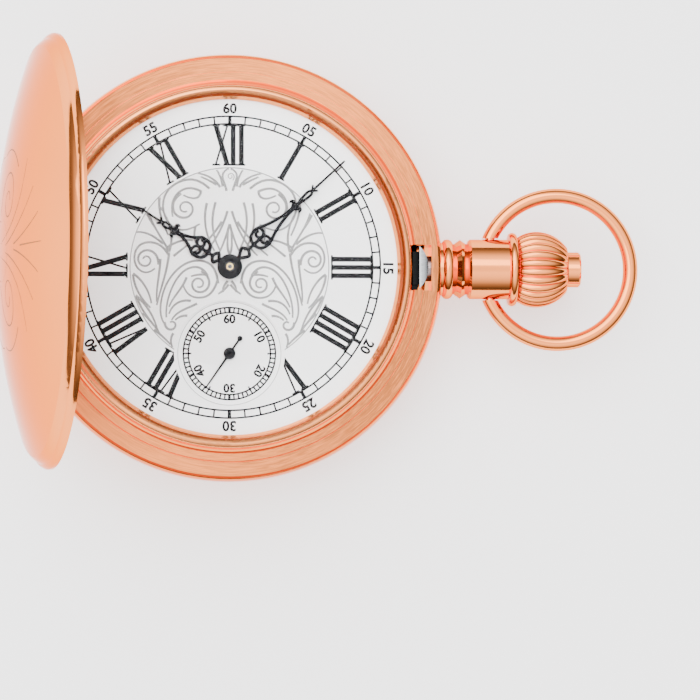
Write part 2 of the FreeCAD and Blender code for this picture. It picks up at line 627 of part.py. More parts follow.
def plate_jewels():
    return jewels([FOURTH, THIRD, ESCAPE, BALANCE, PALLET], Z_PLATE, Z_PLATE + 0.7)


def bridge_jewels():
    return jewels([FOURTH, THIRD, ESCAPE, BALANCE], Z_BRIDGE_TOP - 0.7, Z_BRIDGE_TOP)


# ---- going train
def mainspring_barrel():
    gear = toothed(BARREL_TEETH, BARREL_MODULE, PHASE_BARREL, Z_PLATE - 1.3, Z_PLATE - 0.9, BARREL)
    drum_r = BARREL_TEETH * BARREL_MODULE / 2 - 0.6
    shape = join(gear, [disc(drum_r, Z_PLATE - 1.9, Z_PLATE - 0.3, BARREL)])
    shape = shape.cut(disc(drum_r - 0.4, Z_PLATE - 3, Z_PLATE - 0.6, BARREL))
    return shape.cut(disc(0.6 + FIT, 0, 40, BARREL))


def barrel_cover():
    drum_r = BARREL_TEETH * BARREL_MODULE / 2 - 1.0
    return ring(drum_r, 0.6 + FIT, Z_PLATE - 1.9, Z_PLATE - 1.65, BARREL)


def mainspring():
    """Nested turns of the wound-out spring, lying against the drum wall, and its inner coils."""
    drum_r = BARREL_TEETH * BARREL_MODULE / 2 - 1.0
    turns = [ring(drum_r - 0.1 - 0.3 * turn, drum_r - 0.25 - 0.3 * turn, Z_PLATE - 1.55, Z_PLATE - 0.65, BARREL)
             for turn in range(9)]
    bridges = [block(BARREL[0] + drum_r - 0.1 - 0.3 * 8.7, BARREL[0] + drum_r - 0.15, BARREL[1] - 0.2,
                     BARREL[1] + 0.2, Z_PLATE - 1.55, Z_PLATE - 0.65)]
    return join(turns[0], turns[1:] + bridges)


def barrel_arbor():
    shape = join(disc(0.6, Z_BRIDGE_TOP, Z_PLATE, BARREL), [
        disc(1.5, Z_PLATE - 1.5, Z_PLATE - 0.7, BARREL), disc(1.0, Z_PLATE, Z_PLATE + 0.7, BARREL),
        disc(1.0, Z_BRIDGE, Z_BRIDGE_TOP, BARREL),
        block(BARREL[0] - 0.6, BARREL[0] + 0.6, BARREL[1] - 0.6, BARREL[1] + 0.6,
              Z_BRIDGE - 0.5, Z_BRIDGE)])
    return shape.cut(disc(0.3, 0, Z_BRIDGE + 0.6, BARREL))


def top_screw(place, z_head):
    return screws([place], z_head, Z_BRIDGE + 0.5, head_r=1.5, shank_r=0.3)


def ratchet_module():
    reach = math.hypot(BARREL[0] - WINDING[0], BARREL[1] - WINDING[1])
    return 2 * reach / (RATCHET_TEETH + CROWN_WHEEL_TEETH)


def winding_gear(teeth, phase, place, square):
    shape = toothed(teeth, ratchet_module(), phase, Z_BRIDGE - 0.5, Z_BRIDGE - 0.1, place)
    hole = block(place[0] - square, place[0] + square, place[1] - square, place[1] + square, 0, 40)
    return shape.cut(hole)


def contrate_wheel():
    """Transmission wheel: face teeth towards the winding pinion, square post through the bridge."""
    shape = join(disc(CONTRATE_R + 0.3, Z_BRIDGE_TOP + 0.2, Z_BRIDGE_TOP + 0.5, WINDING), [
        disc(0.8, Z_BRIDGE, Z_BRIDGE_TOP + 0.4, WINDING),
        block(WINDING[0] - 0.5, WINDING[0] + 0.5, -0.5, 0.5, Z_BRIDGE - 0.5, Z_BRIDGE + 0.1)])
    top = Z_STEM - 1.6 + 0.1
    teeth = []
    for tooth in range(CONTRATE_TEETH):
        one = block(CONTRATE_R - 0.3, CONTRATE_R + 0.3, -0.15, 0.15, Z_BRIDGE_TOP + 0.4, top)
        one.rotate(V(0, 0, 0), UP, (tooth + 0.5) * 360 / CONTRATE_TEETH)
        one.translate(V(WINDING[0], WINDING[1], 0))
        teeth.append(one)
    return join(shape, teeth).cut(disc(0.3, 0, Z_BRIDGE + 0.6, WINDING))


def winding_pinion():
    x0 = WINDING[0] + CONTRATE_R - 0.35
    shape = rod_x(1.25, x0, x0 + 1.7)
    teeth = []
    for tooth in range(WINDING_PINION_TEETH):
        one = block(x0, x0 + 0.7, -0.16, 0.16, 1.0, 1.72)
        one.rotate(V(0, 0, 0), ALONG_X, 180 + tooth * 360 / WINDING_PINION_TEETH)
        one.translate(V(0, 0, Z_STEM))
        teeth.append(one)
    return join(shape, teeth).cut(rod_x(STEM_R + FIT, x0 - 1, x0 + 3))


def sliding_pinion():
    x1 = WINDING[0] + CONTRATE_R - 0.45
    shape = rod_x(1.25, x1 - 2.3, x1)
    shape = shape.cut(rod_x(2, x1 - 1.5, x1 - 0.8).cut(rod_x(0.95, x1 - 2, x1)))
    side = STEM_SQUARE / 2 + FIT
    return shape.cut(block(x1 - 4, x1 + 1, -side, side, Z_STEM - side, Z_STEM + side))


def centre_wheel():
    z0 = Z_BRIDGE_TOP + 0.15
    gear = wheel(CENTRE_TEETH, CENTRE_MODULE, 0.0, z0, z0 + 0.25, CENTRE, 0.9)
    pinion = toothed(CENTRE_PINION_TEETH, BARREL_MODULE, 0.0, Z_PLATE - 1.45, Z_PLATE - 0.75, CENTRE)
    shaft = disc(0.5, z0, Z_PLATE_TOP + 0.1)
    return join(gear, [pinion, shaft, disc(0.9, z0, z0 + 0.5), disc(0.3, Z_BRIDGE, z0),
                       disc(ARBOR_R, Z_PLATE_TOP + 0.1, Z_MINUTE + HAND_THICK)])


def third_wheel():
    z0 = Z_BRIDGE_TOP + 0.1
    gear = wheel(THIRD_TEETH, THIRD_MODULE, 0.0, Z_PLATE - 0.6, Z_PLATE - 0.35, THIRD, 0.7)
    pinion = toothed(PINION_TEETH, CENTRE_MODULE, PHASE_THIRD, z0, z0 + 0.5, THIRD)
    return join(gear, [pinion, arbor(THIRD, ARBOR_R, z0, Z_PLATE - 0.1, PIVOT_R, 0.6, 0.6)])


def fourth_wheel():
    z0 = Z_BRIDGE_TOP + 0.1
    gear = wheel(FOURTH_TEETH, FOURTH_MODULE, 0.0, z0 + 0.6, z0 + 0.85, FOURTH, 0.7)
    pinion = toothed(PINION_TEETH, THIRD_MODULE, PHASE_FOURTH, Z_PLATE - 0.8, Z_PLATE - 0.15, FOURTH)
    shaft = arbor(FOURTH, ARBOR_R, z0, Z_PLATE - 0.1, PIVOT_R, 0.6, Z_SECONDS - Z_PLATE + 0.1)
    return join(gear, [pinion, shaft])


def escape_wheel():
    """Fifteen pointed teeth that lean forward on a crossed-out rim."""
    z0 = Z_BRIDGE_TOP + 0.1
    low = Z_PLATE - 0.6
    step = 2 * math.pi / ESCAPE_TEETH
    corners = []
    for tooth in range(ESCAPE_TEETH):
        for radius, share in ((ESCAPE_R - 0.7, 0.0), (ESCAPE_R, 0.28), (ESCAPE_R - 0.05, 0.38),
                              (ESCAPE_R - 0.7, 0.3)):
            angle = tooth * step + share * step
            corners.append(V(ESCAPE[0] + radius * math.cos(angle), ESCAPE[1] + radius * math.sin(angle), low))
    gear = Part.Face(Part.makePolygon(corners + corners[:1])).extrude(V(0, 0, 0.22))
    pinion = toothed(ESCAPE_PINION_TEETH, FOURTH_MODULE, PHASE_ESCAPE, z0 + 0.45, z0 + 1.0, ESCAPE)
    return join(gear, [pinion, arbor(ESCAPE, 0.28, z0, Z_PLATE - 0.1, PIVOT_R, 0.6, 0.6)])


def pallet_fork():
    """Two arms with stones over the escape wheel, and the fork towards the balance."""
    low = Z_PLATE - 0.62
    high = Z_PLATE - 0.38
    arms = []
    for side in (-1, 1):
        tip = offset_place(ESCAPE, ESCAPE_R + 0.42, LINE_DEG + side * 30)
        arms.append(bar(PALLET, 0.3, tip, 0.22, low, high))
    reach = math.hypot(BALANCE[0] - PALLET[0], BALANCE[1] - PALLET[1]) - 1.45
    lever = bar(PALLET, 0.3, offset_place(PALLET, reach, LINE_DEG), 0.2, low, high)
    shaft = arbor(PALLET, 0.25, Z_PLATE - 0.72, Z_PLATE - 0.1, PIVOT_R, 0.4, 0.6)
    return join(lever, arms + [shaft])


def balance_wheel():
    low = Z_BRIDGE_TOP + 0.6
    rim = ring(BALANCE_R, BALANCE_R - 0.55, low, low + 0.6, BALANCE)
    arms = block(BALANCE[0] - BALANCE_R + 0.3, BALANCE[0] + BALANCE_R - 0.3, BALANCE[1] - 0.35,
                 BALANCE[1] + 0.35, low, low + 0.25)
    weights = []
    for side in (60, 120, 240, 300):
        start = offset_place(BALANCE, BALANCE_R - 0.3, side)
        weights.append(disc(0.28, low - 0.12, low + 0.2, start))
    return join(rim, [arms, disc(0.8, low, low + 0.25, BALANCE)] + weights).cut(disc(0.3, 0, 40, BALANCE))


def balance_staff():
    """Staff with the roller and its impulse pin."""
    low = Z_BRIDGE_TOP + 0.1
    pin = offset_place(BALANCE, 1.05, LINE_DEG + 180)
    return join(arbor(BALANCE, 0.3, low, Z_PLATE - 0.1, PIVOT_R, 0.6, 0.6), [
        disc(1.25, Z_PLATE - 0.95, Z_PLATE - 0.75, BALANCE), disc(0.12, Z_PLATE - 0.8, Z_PLATE - 0.45, pin)])


def hairspring():
    """Flat coil between the cock and the balance."""
    low = Z_BRIDGE_TOP + 0.25
    coils = [ring(0.75 + 0.28 * turn, 0.65 + 0.28 * turn, low, low + 0.12, BALANCE) for turn in range(6)]
    spoke = block(BALANCE[0] + 0.3, BALANCE[0] + 2.1, BALANCE[1] - 0.05, BALANCE[1] + 0.05, low, low + 0.12)
    collet = ring(0.5, 0.3, low, low + 0.2, BALANCE)
    return join(collet, coils + [spoke])


def regulator():
    end = offset_place(BALANCE, 3.1, 160)
    shape = bar(BALANCE, 1.1, end, 0.25, Z_BRIDGE - 0.25, Z_BRIDGE)
    return shape.cut(disc(0.6, 0, 40, BALANCE))


def click_place():
    tip_r = RATCHET_TEETH * ratchet_module() / 2 + 0.9 * ratchet_module()
    return offset_place(BARREL, tip_r + 1.15, 168)


def click_spring_place():
    return offset_place(click_place(), 2.4, 118)


def click():
    place = click_place()
    beak = offset_place(place, 1.35, -62)
    shape = bar(place, 0.75, beak, 0.2, Z_BRIDGE - 0.5, Z_BRIDGE - 0.1)
    return shape.cut(disc(ARBOR_R + FIT, 0, 40, place))


def click_screw():
    return screws([click_place()], Z_BRIDGE - 0.95, Z_BRIDGE + 0.7, shank_r=ARBOR_R)


def click_spring():
    end = offset_place(click_place(), 1.1, 150)
    foot = click_spring_place()
    shape = bar(foot, 0.5, end, 0.12, Z_BRIDGE - 0.45, Z_BRIDGE - 0.1)
    return join(shape, [disc(0.3, Z_BRIDGE - 0.2, Z_BRIDGE + 0.7, foot)])


# ---- motion work under the dial
def cannon_pinion():
    gear = toothed(12, 0.11, 0.0, Z_PLATE_TOP + 0.15, Z_PLATE_TOP + 0.42, CENTRE)
    pipe = disc(0.58, Z_PLATE_TOP + 0.12, Z_MINUTE)
    return join(gear, [pipe]).cut(disc(ARBOR_R, 0, 40))


def minute_wheel():
    gear = toothed(36, 0.11, meshed_phase(0, 12, CENTRE, 36, MINUTE_WHEEL), Z_PLATE_TOP + 0.16,
                   Z_PLATE_TOP + 0.36, MINUTE_WHEEL)
    pinion = toothed(10, 0.1056, 0.0, Z_PLATE_TOP + 0.36, Z_PLATE_TOP + 0.74, MINUTE_WHEEL)
    return join(gear, [pinion, disc(0.2, Z_PLATE_TOP, Z_PLATE_TOP + 0.8, MINUTE_WHEEL)])


def hour_wheel():
    gear = toothed(40, 0.1056, meshed_phase(0, 10, MINUTE_WHEEL, 40, CENTRE), Z_PLATE_TOP + 0.5,
                   Z_PLATE_TOP + 0.7, CENTRE)
    return join(gear, [disc(0.9, Z_PLATE_TOP + 0.5, Z_HOUR)]).cut(disc(0.58 + FIT, 0, 40))


def setting_wheel():
    teeth = 20
    module = 2 * 3.1 / (36 + teeth)
    phase = meshed_phase(meshed_phase(0, 12, CENTRE, 36, MINUTE_WHEEL), 36, MINUTE_WHEEL, teeth, SETTING)
    gear = toothed(teeth, module * 0.99, phase, Z_PLATE_TOP + 0.16, Z_PLATE_TOP + 0.36, SETTING, 0.6)
    return join(gear, [disc(0.2, Z_PLATE_TOP, Z_PLATE_TOP + 0.7, SETTING)])


def lever_place():
    return (WINDING[0] + 4.45, 3.1)


def setting_lever():
    """Lever on the dial side; its pin rides in the stem's groove."""
    place = lever_place()
    pin = (WINDING[0] + 4.45, 0.0)
    shape = bar(place, 0.9, pin, 0.5, Z_PLATE_TOP + 0.1, Z_PLATE_TOP + 0.45)
    return join(shape, [disc(0.22, Z_STEM + STEM_R - 0.2, Z_PLATE_TOP + 0.2, pin)]).cut(
        disc(SCREW_R + FIT, 0, 40, place))


def yoke_place():
    return (WINDING[0] + 0.35, -5.0)


def yoke():
    """Return bar: its finger drops into the sliding pinion's groove."""
    place = yoke_place()
    finger = (WINDING[0] + CONTRATE_R - 0.45 - 1.15, -1.2)
    shape = bar(place, 0.8, finger, 0.35, Z_PLATE_TOP + 0.1, Z_PLATE_TOP + 0.45)
    drop = disc(0.2, Z_STEM - 0.1, Z_PLATE_TOP + 0.2, finger)
    return join(shape, [drop]).cut(disc(SCREW_R + FIT, 0, 40, place))


def keyless_screws():
    """Shoulder screws of the setting lever and the yoke, standing on the plate's dial side."""
    made = []
    for place in (lever_place(), yoke_place()):
        made.append(join(disc(SCREW_R, Z_PLATE_TOP, Z_PLATE_TOP + 0.5, place),
                         [disc(0.75, Z_PLATE_TOP + 0.5, Z_PLATE_TOP + 0.8, place)]))
    return Part.makeCompound(made)


# ---- dial and hands
def dial():
    shape = disc(R_DIAL_SEEN + DIAL_OVERLAP, Z_DIAL, Z_DIAL_TOP)
    shape = shape.cut(disc(SUBDIAL_R, Z_DIAL_TOP - SUBDIAL_DEPTH, Z_DIAL_TOP + 1, FOURTH))
    shape = drilled(shape, [CENTRE], 0.9 + 0.15)
    shape = drilled(shape, [FOURTH], 0.35)
    return join(shape, [disc(0.35, Z_PLATE_TOP - 1.1, Z_DIAL, dial_foot(side)) for side in (-1, 1)])


def hand_at(shape, degrees, place=CENTRE):
    shape.rotate(V(place[0], place[1], 0), UP, -degrees)
    return shape


def loop_piece(y, radius, width, z0, z1):
    return ring(radius, radius - width, z0, z1, (0, y))


def ornate_hand(length, hub_r, hole_r, z0, degrees):
    """Pierced hand drawn at 12 o'clock: hub, heart, drop and needle."""
    z1 = z0 + HAND_THICK
    hub = ring(hub_r, hole_r, z0, z1)
    heart = 0.25 * length
    drop = 0.62 * length
    parts = [
        bar((0, hub_r - 0.2), 0.45, (0, heart - 0.75), 0.25, z0, z1),
        loop_piece(heart - 0.15, 0.95, 0.28, z0, z1),
        bar((-0.75, heart + 0.3), 0.2, (-0.12, drop - 1.2), 0.14, z0, z1),
        bar((0.75, heart + 0.3), 0.2, (0.12, drop - 1.2), 0.14, z0, z1),
        bar((-0.5, drop - 1.1), 0.16, (0.5, drop - 1.1), 0.14, z0, z1),
        loop_piece(drop - 0.3, 0.75, 0.24, z0, z1),
        bar((0, drop + 0.4), 0.2, (0, length - 0.1), 0.08, z0, z1)]
    return hand_at(join(hub, parts), degrees)


def hour_hand():
    return ornate_hand(HOUR_LENGTH, 1.42, 0.9, Z_HOUR, HOUR_DEG)


def minute_hand():
    return ornate_hand(MINUTE_LENGTH, 1.2, ARBOR_R, Z_MINUTE, MINUTE_DEG)


def seconds_hand():
    z1 = Z_SECONDS + HAND_THICK
    hub = disc(0.67, Z_SECONDS, z1, FOURTH)
    y = FOURTH[1]
    needle = bar((0, y), 0.2, (0, y + SECONDS_LENGTH - 0.06), 0.06, Z_SECONDS, z1)
    tail = bar((0, y), 0.14, (0, y - 2.09), 0.11, Z_SECONDS, z1)
    ball = disc(0.29, Z_SECONDS, z1, (0, y - 2.09))
    shape = join(hub, [needle, tail, ball]).cut(disc(PIVOT_R, 0, 40, FOURTH))
    return hand_at(shape, SECONDS_DEG, FOURTH)


PHASE_BARREL = meshed_phase(0, CENTRE_PINION_TEETH, CENTRE, BARREL_TEETH, BARREL)
PHASE_THIRD = meshed_phase(0, CENTRE_TEETH, CENTRE, PINION_TEETH, THIRD)
PHASE_FOURTH = meshed_phase(0, THIRD_TEETH, THIRD, PINION_TEETH, FOURTH)
PHASE_ESCAPE = meshed_phase(0, FOURTH_TEETH, FOURTH, ESCAPE_PINION_TEETH, ESCAPE)
PHASE_CROWN_WHEEL = meshed_phase(0, RATCHET_TEETH, BARREL, CROWN_WHEEL_TEETH, WINDING)

NODES = {
    "case_middle": case_middle,
    "case_back": case_back,
    "front_lid": front_lid,
    "lid_hinge_pin": hinge_pin,
    "bezel": bezel,
    "crystal": crystal,
    "pendant": pendant,
    "bow": bow,
    "crown": crown,
    "crown_button": crown_button,
    "push_sleeve": push_sleeve,
    "winding_stem": winding_stem,
    "catch_spring": catch_spring,
    "lift_spring": lift_spring,
    "spring_screws": spring_screws,
    "movement_ring": movement_ring,
    "case_screws": lambda: screws(CASE_SCREWS, Z_PLATE - 0.6 - SCREW_HEAD, Z_PLATE + 1.4),
    "main_plate": main_plate,
    "barrel_bridge": barrel_bridge,
    "train_bridge": train_bridge,
    "balance_cock": balance_cock,
    "pallet_bridge": pallet_bridge,
    "bridge_screws": lambda: screws(TRAIN_FEET + BARREL_FEET + [COCK_FOOT], Z_BRIDGE - SCREW_HEAD,
                                    Z_PLATE + 1.3),
    "pallet_bridge_screws": lambda: screws(pallet_feet(), Z_PLATE - 1.15 - SCREW_HEAD, Z_PLATE + 0.9,
                                           0.5, 0.3),
    "plate_jewels": plate_jewels,
    "bridge_jewels": bridge_jewels,
    "mainspring_barrel": mainspring_barrel,
    "barrel_cover": barrel_cover,
    "mainspring": mainspring,
    "barrel_arbor": barrel_arbor,
    "ratchet_wheel": lambda: winding_gear(RATCHET_TEETH, 0.0, BARREL, 0.6),
    "ratchet_screw": lambda: top_screw(BARREL, Z_BRIDGE - 0.5 - SCREW_HEAD),
    "crown_wheel": lambda: winding_gear(CROWN_WHEEL_TEETH, PHASE_CROWN_WHEEL, WINDING, 0.5),
    "crown_wheel_screw": lambda: top_screw(WINDING, Z_BRIDGE - 0.5 - SCREW_HEAD),
    "contrate_wheel": contrate_wheel,
    "winding_pinion": winding_pinion,
    "sliding_pinion": sliding_pinion,
    "click": click,
    "click_screw": click_screw,
    "click_spring": click_spring,
    "centre_wheel": centre_wheel,
    "third_wheel": third_wheel,
    "fourth_wheel": fourth_wheel,
    "escape_wheel": escape_wheel,
    "pallet_fork": pallet_fork,
    "balance_wheel": balance_wheel,
    "balance_staff": balance_staff,
    "hairspring": hairspring,
    "regulator": regulator,
    "cannon_pinion": cannon_pinion,
    "minute_wheel": minute_wheel,
    "hour_wheel": hour_wheel,
    "setting_wheel": setting_wheel,
    "setting_lever": setting_lever,
    "yoke": yoke,
    "keyless_screws": keyless_screws,
    "dial": dial,
    "hour_hand": hour_hand,
    "minute_hand": minute_hand,
    "seconds_hand": seconds_hand,
}

os.makedirs("parts", exist_ok=True)
for name, make in NODES.items():
    make().exportStep("parts/" + name + ".step")
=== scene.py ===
"""Looks of the hunter pocket watch: rose gold case, silvered dial, pierced black hands."""
import json
import math

import bpy
from mathutils import Matrix, Vector


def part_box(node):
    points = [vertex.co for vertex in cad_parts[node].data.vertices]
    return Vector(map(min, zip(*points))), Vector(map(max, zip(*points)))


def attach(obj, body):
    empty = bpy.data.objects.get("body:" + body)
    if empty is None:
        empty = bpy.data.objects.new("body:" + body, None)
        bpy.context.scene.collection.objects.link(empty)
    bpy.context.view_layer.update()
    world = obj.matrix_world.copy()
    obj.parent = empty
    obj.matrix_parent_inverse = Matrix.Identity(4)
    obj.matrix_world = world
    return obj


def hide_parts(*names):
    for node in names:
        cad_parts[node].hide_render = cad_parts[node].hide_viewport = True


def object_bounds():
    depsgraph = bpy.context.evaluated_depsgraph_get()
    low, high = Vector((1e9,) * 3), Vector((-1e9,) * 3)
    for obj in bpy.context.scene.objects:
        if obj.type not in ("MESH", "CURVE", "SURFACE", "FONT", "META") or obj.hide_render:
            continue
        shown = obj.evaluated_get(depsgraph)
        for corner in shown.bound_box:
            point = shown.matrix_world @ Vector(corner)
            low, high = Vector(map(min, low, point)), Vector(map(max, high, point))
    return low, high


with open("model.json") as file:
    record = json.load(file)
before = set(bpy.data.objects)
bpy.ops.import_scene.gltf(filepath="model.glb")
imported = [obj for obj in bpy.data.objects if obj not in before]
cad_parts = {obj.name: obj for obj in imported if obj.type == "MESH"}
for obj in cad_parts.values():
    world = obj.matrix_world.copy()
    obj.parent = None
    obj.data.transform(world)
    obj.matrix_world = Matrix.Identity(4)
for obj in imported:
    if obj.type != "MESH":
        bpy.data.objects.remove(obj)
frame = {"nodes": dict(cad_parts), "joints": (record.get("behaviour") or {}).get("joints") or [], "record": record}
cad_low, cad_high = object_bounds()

MM = 0.001

# ---- places taken from the frame
dial_low, dial_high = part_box("dial")
crown_low, crown_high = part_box("crown")
button_low, button_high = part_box("crown_button")
hour_low, hour_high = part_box("hour_hand")
minute_low, minute_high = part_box("minute_hand")
seconds_low, seconds_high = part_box("seconds_hand")
DIAL_TOP = dial_high.z / MM
STEM_Z = (crown_low.z + crown_high.z) / 2 / MM
JOINTS = {joint["name"]: joint for joint in frame["joints"]}

# ---- dial print, millimetres from the hands' centre
ORNAMENT_R = 11.35
TRACK_OUTER = 17.25
TRACK_INNER = 16.38
MINUTE_FIGURE_R = 18.1
FIGURE_HEIGHT = 1.16
ROMAN_OUTER = 16.2
ROMAN_INNER = 11.7
SECONDS_Y = -9.89
SUBDIAL_DROP = 0.18
SECONDS_TRACK = 5.26
SECONDS_TRACK_INNER = 4.68
SECONDS_FIGURE_R = 3.9
INK_THICK = 0.015
HOUR_DEG = 303.1
MINUTE_DEG = 47.2
SECONDS_DEG = 214.6


# ======================================================================== modelling helpers
def deselect():
    if bpy.context.object and bpy.context.object.mode == "EDIT":
        bpy.ops.object.mode_set(mode="OBJECT")
    bpy.ops.object.select_all(action="DESELECT")


def activate(piece):
    deselect()
    piece.select_set(True)
    bpy.context.view_layer.objects.active = piece
    return piece


def settle(piece, name, material, body, replaced=()):
    """Names a finished piece, puts its place in its mesh and sets what it rides on."""
    activate(piece)
    bpy.ops.object.transform_apply(location=True, rotation=True, scale=True)
    piece.name = name
    piece.data.name = name
    piece.data.materials.clear()
    piece.data.materials.append(material)
    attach(piece, body)
    if replaced:
        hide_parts(*replaced)
    return piece


def joined(pieces):
    deselect()
    for piece in pieces:
        piece.select_set(True)
    bpy.context.view_layer.objects.active = pieces[0]
    bpy.ops.object.join()
    return bpy.context.object


def to_mesh(piece):
    activate(piece)
    bpy.ops.object.convert(target="MESH")
    return bpy.context.object


def recalculated(piece, merge=0.000002):
    activate(piece)
    bpy.ops.object.mode_set(mode="EDIT")
    bpy.ops.mesh.select_all(action="SELECT")
    bpy.ops.mesh.remove_doubles(threshold=merge)
    bpy.ops.mesh.normals_make_consistent(inside=False)
    bpy.ops.object.mode_set(mode="OBJECT")
    return piece


def smooth(piece, degrees=35):
    activate(piece)
    bpy.ops.object.shade_smooth_by_angle(angle=math.radians(degrees))
    return piece


def polar(radius, clockwise_deg, centre=(0.0, 0.0)):
    """A point on the dial, by its radius and its angle clockwise from 12 o'clock."""
    angle = math.radians(clockwise_deg)
    return (centre[0] + radius * math.sin(angle), centre[1] + radius * math.cos(angle))


def scroll(centre, start_r, end_r, start_deg, sweep_deg, steps=None):
    """Points of a volute that winds from its start radius to its end radius."""
    steps = steps or max(6, int(abs(sweep_deg) / 30))
    points = []
    for step in range(steps + 1):
        share = step / steps
        radius = start_r * (end_r / start_r) ** share
        angle = math.radians(start_deg + sweep_deg * share)
        points.append((centre[0] + radius * math.cos(angle), centre[1] + radius * math.sin(angle)))
    return points


def mirrored(points):
    return [(-x, y) for x, y in points]


def drawn(strokes, resolution=5, sides=2):
    """Rounded wires along smooth lines; each stroke is (points, start width, end width)."""
    bpy.ops.curve.primitive_nurbs_path_add(location=(0, 0, 0))
    curve = bpy.context.object
    curve.data.splines.clear()
    curve.data.bevel_depth = 0.5 * MM
    curve.data.bevel_resolution = sides
    curve.data.use_fill_caps = True
    for points, start_width, end_width in strokes:
        spline = curve.data.splines.new("NURBS")
        spline.points.add(len(points) - 1)
        for index, (x, y) in enumerate(points):
            share = index / (len(points) - 1)
            spline.points[index].co = (x * MM, y * MM, 0.0, 1.0)
            spline.points[index].radius = start_width + (end_width - start_width) * share
        spline.order_u = min(4, len(points))
        spline.use_endpoint_u = True
        spline.resolution_u = resolution
    return to_mesh(curve)


def flattened(piece, factor):
    activate(piece)
    bpy.ops.object.mode_set(mode="EDIT")
    bpy.ops.mesh.select_all(action="SELECT")
    bpy.ops.transform.resize(value=(1, 1, factor), center_override=(0, 0, 0))
    bpy.ops.object.mode_set(mode="OBJECT")
    return piece


def moved(piece, offset=(0, 0, 0), clockwise_deg=0.0, pivot=(0, 0)):
    """Turns a flat piece clockwise about a dial point and lifts it to its place."""
    place = Matrix.Translation(Vector((offset[0] * MM, offset[1] * MM, offset[2] * MM)))
    swing = Matrix.Rotation(-math.radians(clockwise_deg), 4, "Z")
    about = Matrix.Translation(Vector((pivot[0] * MM, pivot[1] * MM, 0)))
    piece.matrix_world = place @ about @ swing @ about.inverted() @ piece.matrix_world
    activate(piece)
    bpy.ops.object.transform_apply(location=True, rotation=True, scale=True)
    return piece


def washer(outer, inner, thick, centre=(0, 0), segments=128):
    """A flat ring that starts as a circle: widened inwards, then raised."""
    bpy.ops.mesh.primitive_circle_add(vertices=segments, radius=outer * MM,
                                      location=(centre[0] * MM, centre[1] * MM, 0))
    bpy.ops.object.mode_set(mode="EDIT")
    bpy.ops.mesh.select_all(action="SELECT")
    pivot = (centre[0] * MM, centre[1] * MM, 0)
    bpy.ops.mesh.extrude_edges_move()
    share = inner / outer
    bpy.ops.transform.resize(value=(share, share, 1), center_override=pivot)
    bpy.ops.mesh.select_all(action="SELECT")
    bpy.ops.mesh.extrude_region_move(TRANSFORM_OT_translate={"value": (0, 0, thick * MM)})
    bpy.ops.object.mode_set(mode="OBJECT")
    return recalculated(bpy.context.object)


def slab(corners, thick):
    """A flat four-sided stroke: a plane whose corners are pulled to place, then raised."""
    bpy.ops.mesh.primitive_plane_add(size=MM)
    piece = bpy.context.object
    order = (0, 1, 3, 2)
    for index, (x, y) in zip(order, corners):
        piece.data.vertices[index].co = (x * MM, y * MM, 0)
    bpy.ops.object.mode_set(mode="EDIT")
    bpy.ops.mesh.select_all(action="SELECT")
    bpy.ops.mesh.extrude_region_move(TRANSFORM_OT_translate={"value": (0, 0, thick * MM)})
    bpy.ops.object.mode_set(mode="OBJECT")
    return piece


def bar_between(start, end, width):
    dx = end[0] - start[0]
    dy = end[1] - start[1]
    length = math.hypot(dx, dy)
    across = (-dy / length * width / 2, dx / length * width / 2)
    return [(start[0] + across[0], start[1] + across[1]), (start[0] - across[0], start[1] - across[1]),
            (end[0] - across[0], end[1] - across[1]), (end[0] + across[0], end[1] + across[1])]


# ======================================================================== shader groups
def group_base(name, inputs, outputs):
    group = bpy.data.node_groups.new(name, "ShaderNodeTree")
    for label, kind, value in inputs:
        socket = group.interface.new_socket(name=label, in_out="INPUT", socket_type=kind)
        socket.default_value = value
    for label, kind in outputs:
        group.interface.new_socket(name=label, in_out="OUTPUT", socket_type=kind)
    inlet = group.nodes.new("NodeGroupInput")
    outlet = group.nodes.new("NodeGroupOutput")
    return group, inlet, outlet


def maths(tree, operation, first, second=None, third=None, clamp=False):
    node = tree.nodes.new("ShaderNodeMath")
    node.operation = operation
    node.use_clamp = clamp
    for index, value in enumerate((first, second, third)):
        if value is None:
            continue
        if isinstance(value, (int, float)):
            node.inputs[index].default_value = value
        else:
            tree.links.new(value, node.inputs[index])
    return node.outputs[0]


def spread(tree, value, low, high, out_low=0.0, out_high=1.0):
    node = tree.nodes.new("ShaderNodeMapRange")
    node.clamp = True
    node.interpolation_type = "SMOOTHSTEP"
    tree.links.new(value, node.inputs["Value"])
    node.inputs["From Min"].default_value = low
    node.inputs["From Max"].default_value = high
    node.inputs["To Min"].default_value = out_low
    node.inputs["To Max"].default_value = out_high
    return node.outputs["Result"]


def noise(tree, vector, scale, detail=3.0, rough=0.5):
    node = tree.nodes.new("ShaderNodeTexNoise")
    node.inputs["Detail"].default_value = detail
    node.inputs["Roughness"].default_value = rough
    if isinstance(scale, (int, float)):
        node.inputs["Scale"].default_value = scale
    else:
        tree.links.new(scale, node.inputs["Scale"])
    if vector is not None:
        tree.links.new(vector, node.inputs["Vector"])
    return node.outputs["Fac"]


def joined_vector(tree, x, y, z):
    node = tree.nodes.new("ShaderNodeCombineXYZ")
    for index, value in enumerate((x, y, z)):
        if isinstance(value, (int, float)):
            node.inputs[index].default_value = value
        else:
            tree.links.new(value, node.inputs[index])
    return node.outputs[0]


